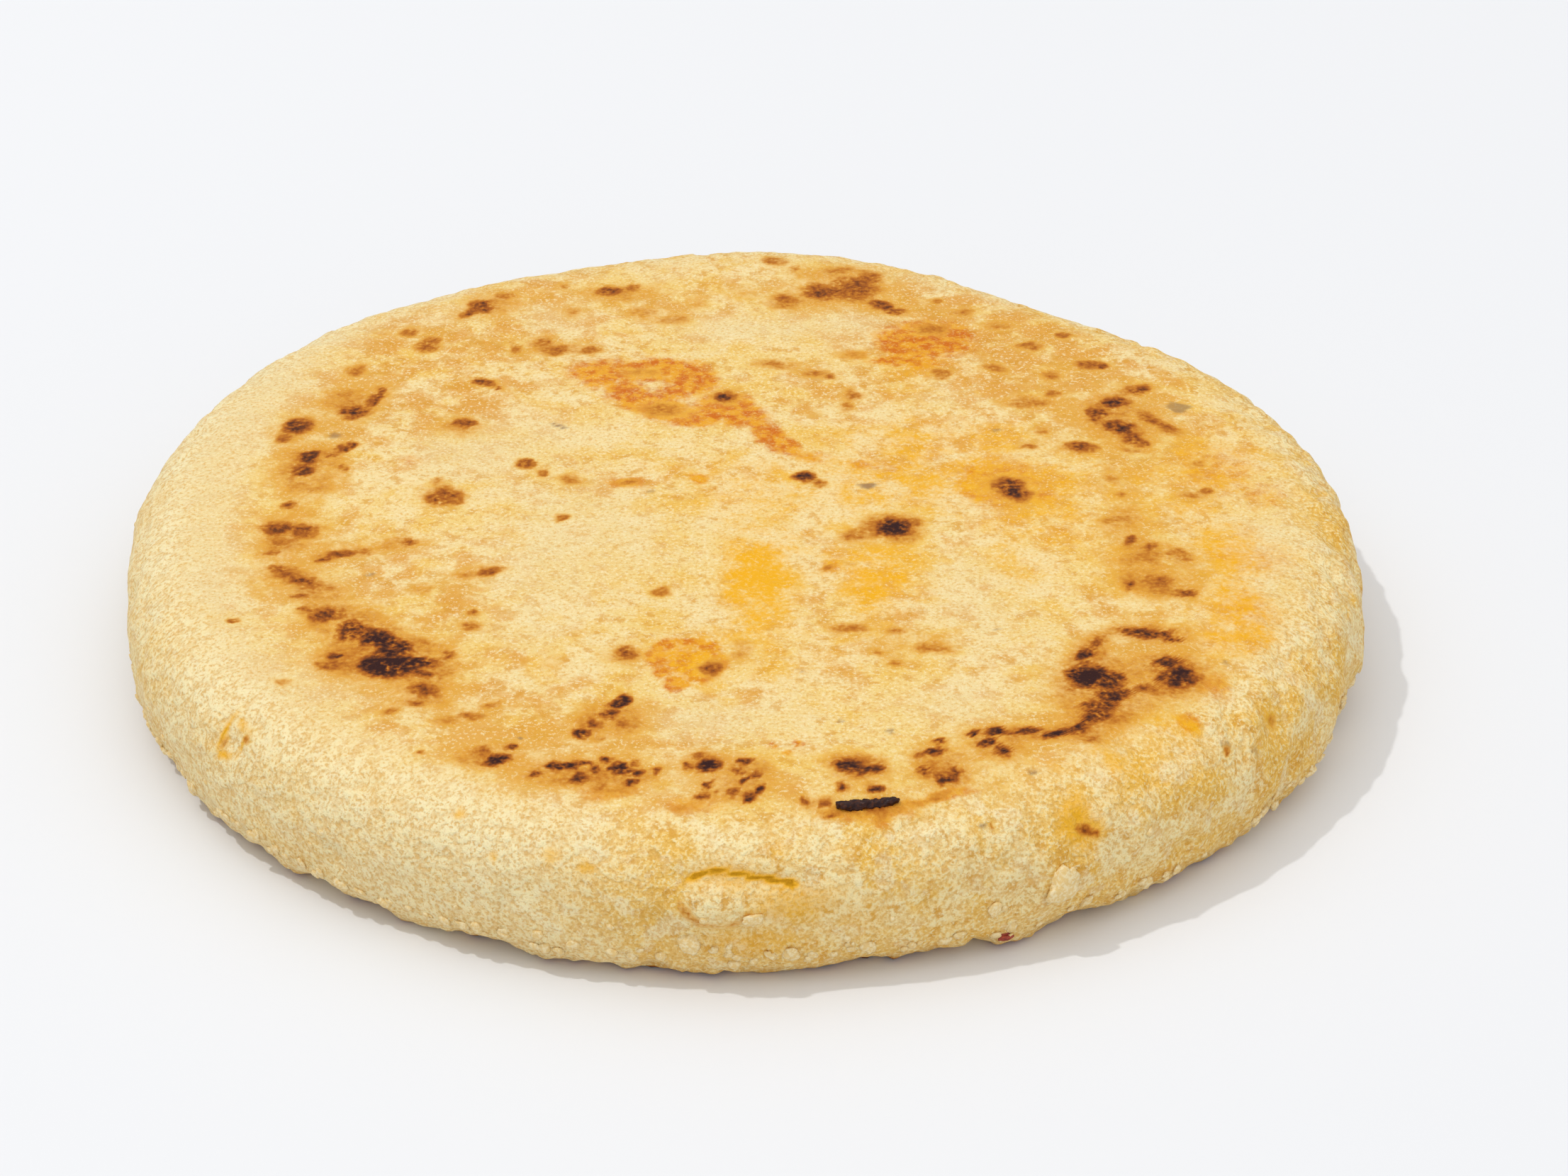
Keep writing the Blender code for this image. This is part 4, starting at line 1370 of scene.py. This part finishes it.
def char_material():
    """Nearly black, and a little browner where the grain stands out."""
    material, tree, shader = new_material("charred_masa")
    _, corn = corn_grain(tree)
    spared = step(tree, corn["Grit"], 0.35, 0.7, 0.3)
    inputs = {
        "Clean": CHARRED,
        "Scorch": reckon(tree, "SUBTRACT", 1.0, spared),
        "Speckle": 0.5,
        "Mottle": 0.5,
    }
    scorched = use_group(tree, scorching, inputs)
    surface = {
        "Base Color": mix(tree, BLACK_SHARE, scorched["Color"], CHAR_BLACK),
        "Normal": raised(tree, corn["Grit"], CHAR_GRAIN),
        "Roughness": 0.34,
        "Specular IOR Level": 0.2,
    }
    feed(tree, shader, surface)
    return material


sliver = add_piece("charred_sliver", charred_sliver())
sliver.data.materials.append(char_material())

# ---------------------------------------------------------------------------------------------- the crumbs
# Bits of drier dough that broke off while it was patted and stuck to the wall, thickest near the foot. They
# are pale, lumpy and half sunk in. One at the foot has browned.

# Crumbs that stand out: angle in degrees, height, length and width in mm.
PLACED_CRUMBS = (
    (297.4, 8.0, 2.9, 2.0),
    (299.0, 7.6, 2.8, 2.1),
    (298.0, 6.4, 3.2, 2.6),
    (299.4, 5.9, 1.8, 1.4),
    (296.7, 6.8, 1.8, 1.4),
    (298.4, 5.3, 1.8, 1.2),
    (268.9, 4.4, 1.1, 0.8),
    (270.1, 4.6, 0.8, 0.6),
    (269.7, 3.9, 0.7, 0.5),
    (266.4, 4.6, 2.2, 1.7),
    (273.0, 6.8, 2.0, 1.4),
    (291.5, 6.0, 1.5, 1.3),
    (276.5, 3.2, 1.8, 1.0),
    (254.0, 4.0, 1.4, 1.0),
)
BROWN_CRUMB = (293.3, 0.25, 1.5, 1.1)

# The rest, placed at random: how many, their lengths and how high they go, in mm.
CRUMB_SEED = 5
WALL_CRUMBS, WALL_CRUMB_LENGTHS, WALL_CRUMBS_TO = 110, (0.45, 1.0), 11
SETTLED = 1.7  # how much thicker they lie towards the foot
FOOT_CRUMBS, FOOT_CRUMB_LENGTHS, FOOT_CRUMB_HEIGHTS = 520, (0.55, 1.4), (0.2, 2.2)
CRUMB_WIDTHS = (0.6, 1)  # over the length

FINE_CRUMB = 1.45 * MM  # crumbs longer than this get a finer mesh
CRUMB_LUMP = 0.4  # how uneven a crumb is, over its size
CRUMB_LUMP_WIDTHS = (0.45, 0.2)  # over its length
CRUMB_FLATNESS = 0.52  # its height over its width
CRUMB_GRAIN = 0.1 * MM


def stick_crumb(crumbs_bm, spot, outward, size, draw):
    """Adds one flat, lumpy crumb, half sunk into the wall."""
    length, width = size
    bm = bmesh.new()
    rounds = 3 if length > FINE_CRUMB else 2
    verts = bmesh.ops.create_icosphere(bm, subdivisions=rounds, radius=length / 2)["verts"]
    shift = Vector((draw.uniform(0, 99), draw.uniform(0, 99), draw.uniform(0, 99)))
    wide, fine = (length * share for share in CRUMB_LUMP_WIDTHS)
    for vert in verts:
        lump = noise.noise(vert.co / wide + shift) + 0.5 * noise.noise(vert.co / fine + shift)
        vert.co *= 1 + CRUMB_LUMP * lump
    flat = (1, width / length, CRUMB_FLATNESS * width / length)
    bmesh.ops.scale(bm, vec=flat, verts=verts)
    spin = Matrix.Rotation(draw.uniform(0, math.pi), 3, "Z")
    stand = outward.to_track_quat("Z", "Y").to_matrix()
    bmesh.ops.rotate(bm, verts=verts, matrix=stand @ spin)
    bmesh.ops.translate(bm, verts=verts, vec=spot)
    crumb = bpy.data.meshes.new("crumb")
    bm.to_mesh(crumb)
    bm.free()
    crumbs_bm.from_mesh(crumb)
    bpy.data.meshes.remove(crumb)


def wall_spot(angle, height):
    """The dough's surface nearest this angle in degrees and height, and which way it faces."""
    turn = math.radians(angle)
    outside = RADIUS * 1.1
    ask = PAT_CENTRE + Vector((math.cos(turn) * outside, math.sin(turn) * outside, height))
    spot, outward, _, _ = disc_surface.find_nearest(ask)
    return spot, outward


def crumb_mesh(places, draw):
    bm = bmesh.new()
    for angle, height, length, width in places:
        spot, outward = wall_spot(angle, height * MM)
        stick_crumb(bm, spot, outward, (length * MM, width * MM), draw)
    bmesh.ops.recalc_face_normals(bm, faces=bm.faces)
    keep_in_box(bm)
    return bm


def loose_crumbs(draw):
    """Crumbs placed at random, in the form of PLACED_CRUMBS."""
    for _ in range(WALL_CRUMBS):
        size = draw.uniform(*WALL_CRUMB_LENGTHS)
        angle, height = draw.uniform(0, 360), WALL_CRUMBS_TO * draw.random() ** SETTLED
        yield angle, height, size, size * draw.uniform(*CRUMB_WIDTHS)
    for _ in range(FOOT_CRUMBS):
        size = draw.uniform(*FOOT_CRUMB_LENGTHS)
        angle, height = draw.uniform(0, 360), draw.uniform(*FOOT_CRUMB_HEIGHTS)
        yield angle, height, size, size * draw.uniform(*CRUMB_WIDTHS)


def crumb_material(name, dry, grain):
    """A dull crumb of one colour, with grains of another."""
    material, tree, shader = new_material(name)
    _, corn = corn_grain(tree)
    surface = {
        "Base Color": layered(tree, dry, ((corn["Grit"], 0.4, 0.65, 1.0, grain),)),
        "Normal": raised(tree, corn["Grit"], CRUMB_GRAIN),
        "Roughness": 0.5,
    }
    feed(tree, shader, surface)
    return material


crumb_draw = random.Random(CRUMB_SEED)
pale_places = (*PLACED_CRUMBS, *loose_crumbs(crumb_draw))
pale_crumbs = add_piece("wall_crumbs", crumb_mesh(pale_places, crumb_draw))
dry_crumb = crumb_material("dry_crumb", cooked(238, 204, 134), cooked(250, 230, 180))
pale_crumbs.data.materials.append(dry_crumb)
brown_crumb = add_piece("browned_crumb", crumb_mesh((BROWN_CRUMB,), crumb_draw))
browned_dough = crumb_material("browned_crumb", cooked(140, 44, 24), cooked(180, 74, 44))
brown_crumb.data.materials.append(browned_dough)

# -------------------------------------------------------------------------------------- the floor and light
# A plain pale table, one lamp up on the left, and soft light from all round, most of it from overhead, with a
# little more from low in front.

FLOOR_SIZE = 3
FLOOR_GAP = 0.02 * MM  # keeps the flat underside and the floor apart when seen from below
FLOOR_COLOUR = (0.787, 0.796, 0.815, 1)

floor_bm = bmesh.new()
bmesh.ops.create_grid(floor_bm, x_segments=1, y_segments=1, size=FLOOR_SIZE)
bmesh.ops.translate(floor_bm, vec=(0, 0, -FLOOR_GAP), verts=floor_bm.verts)
floor_mesh = bpy.data.meshes.new("floor")
floor_bm.to_mesh(floor_mesh)
floor_bm.free()
floor = bpy.data.objects.new("floor", floor_mesh)
bpy.context.scene.collection.objects.link(floor)
floor_material, floor_tree, floor_shader = new_material("pale_floor")
plain = {"Base Color": FLOOR_COLOUR, "Roughness": 0.9, "Specular IOR Level": 0.1}
feed(floor_tree, floor_shader, plain)
floor_mesh.materials.append(floor_material)

LAMP_POWER, LAMP_WIDTH, LAMP_AWAY, LAMP_UP = 10.5, 0.06, 2.0, math.radians(64)
lamp_data = bpy.data.lights.new("lamp", "AREA")
lamp_data.shape = "DISK"
lamp_data.size = LAMP_WIDTH
lamp_data.energy = LAMP_POWER
lamp = bpy.data.objects.new("lamp", lamp_data)
lamp_place = Vector((-math.cos(LAMP_UP), 0, math.sin(LAMP_UP))) * LAMP_AWAY
lamp.location = lamp_place
lamp.rotation_euler = (-lamp_place).to_track_quat("-Z", "Y").to_euler()
bpy.context.scene.collection.objects.link(lamp)

# How bright the light is from all round, from overhead and from low in front.
ROUND_LIGHT, OVERHEAD_LIGHT, FRONT_LIGHT = 0.32, 1.1, 1.0
RIGHT_SHARE = 0.4  # how far the light in front leans to the right

world = bpy.data.worlds.new("studio")
world.use_nodes = True
sky = world.node_tree
outside = node(sky, "TexCoord", {}).outputs["Generated"]
facing = node(sky, "SeparateXYZ", {"Vector": outside}).outputs
upward = reckon(sky, "MAXIMUM", facing["Z"], 0)
overhead = reckon(sky, "MULTIPLY", reckon(sky, "MULTIPLY", upward, upward), OVERHEAD_LIGHT)
low = reckon(sky, "POWER", reckon(sky, "SUBTRACT", 1, upward), 2)
to_right = reckon(sky, "MULTIPLY", facing["X"], RIGHT_SHARE)
in_front = reckon(sky, "MAXIMUM", reckon(sky, "SUBTRACT", to_right, facing["Y"]), 0)
from_front = reckon(sky, "MULTIPLY", reckon(sky, "MULTIPLY", in_front, low), FRONT_LIGHT)
brightness = reckon(sky, "ADD", ROUND_LIGHT, reckon(sky, "ADD", overhead, from_front))
feed(sky, sky.nodes["Background"], {"Strength": brightness, "Color": (1, 1, 1, 1)})
bpy.context.scene.world = world
bpy.context.scene.view_settings.view_transform = "Standard"

CAMERA_PLACE = Vector((4.37, -292.34, 183.40)) * MM
CAMERA_AIM = Vector((4.37, 5.77, 0)) * MM
CAMERA_LENS, CAMERA_NEAR = 75.54, 0.01
camera_data = bpy.data.cameras.new("camera")
camera_data.lens = CAMERA_LENS
camera_data.clip_start = CAMERA_NEAR
camera = bpy.data.objects.new("camera", camera_data)
camera.location = CAMERA_PLACE
camera.rotation_euler = (CAMERA_AIM - CAMERA_PLACE).to_track_quat("-Z", "Y").to_euler()
bpy.context.scene.collection.objects.link(camera)
bpy.context.scene.camera = camera
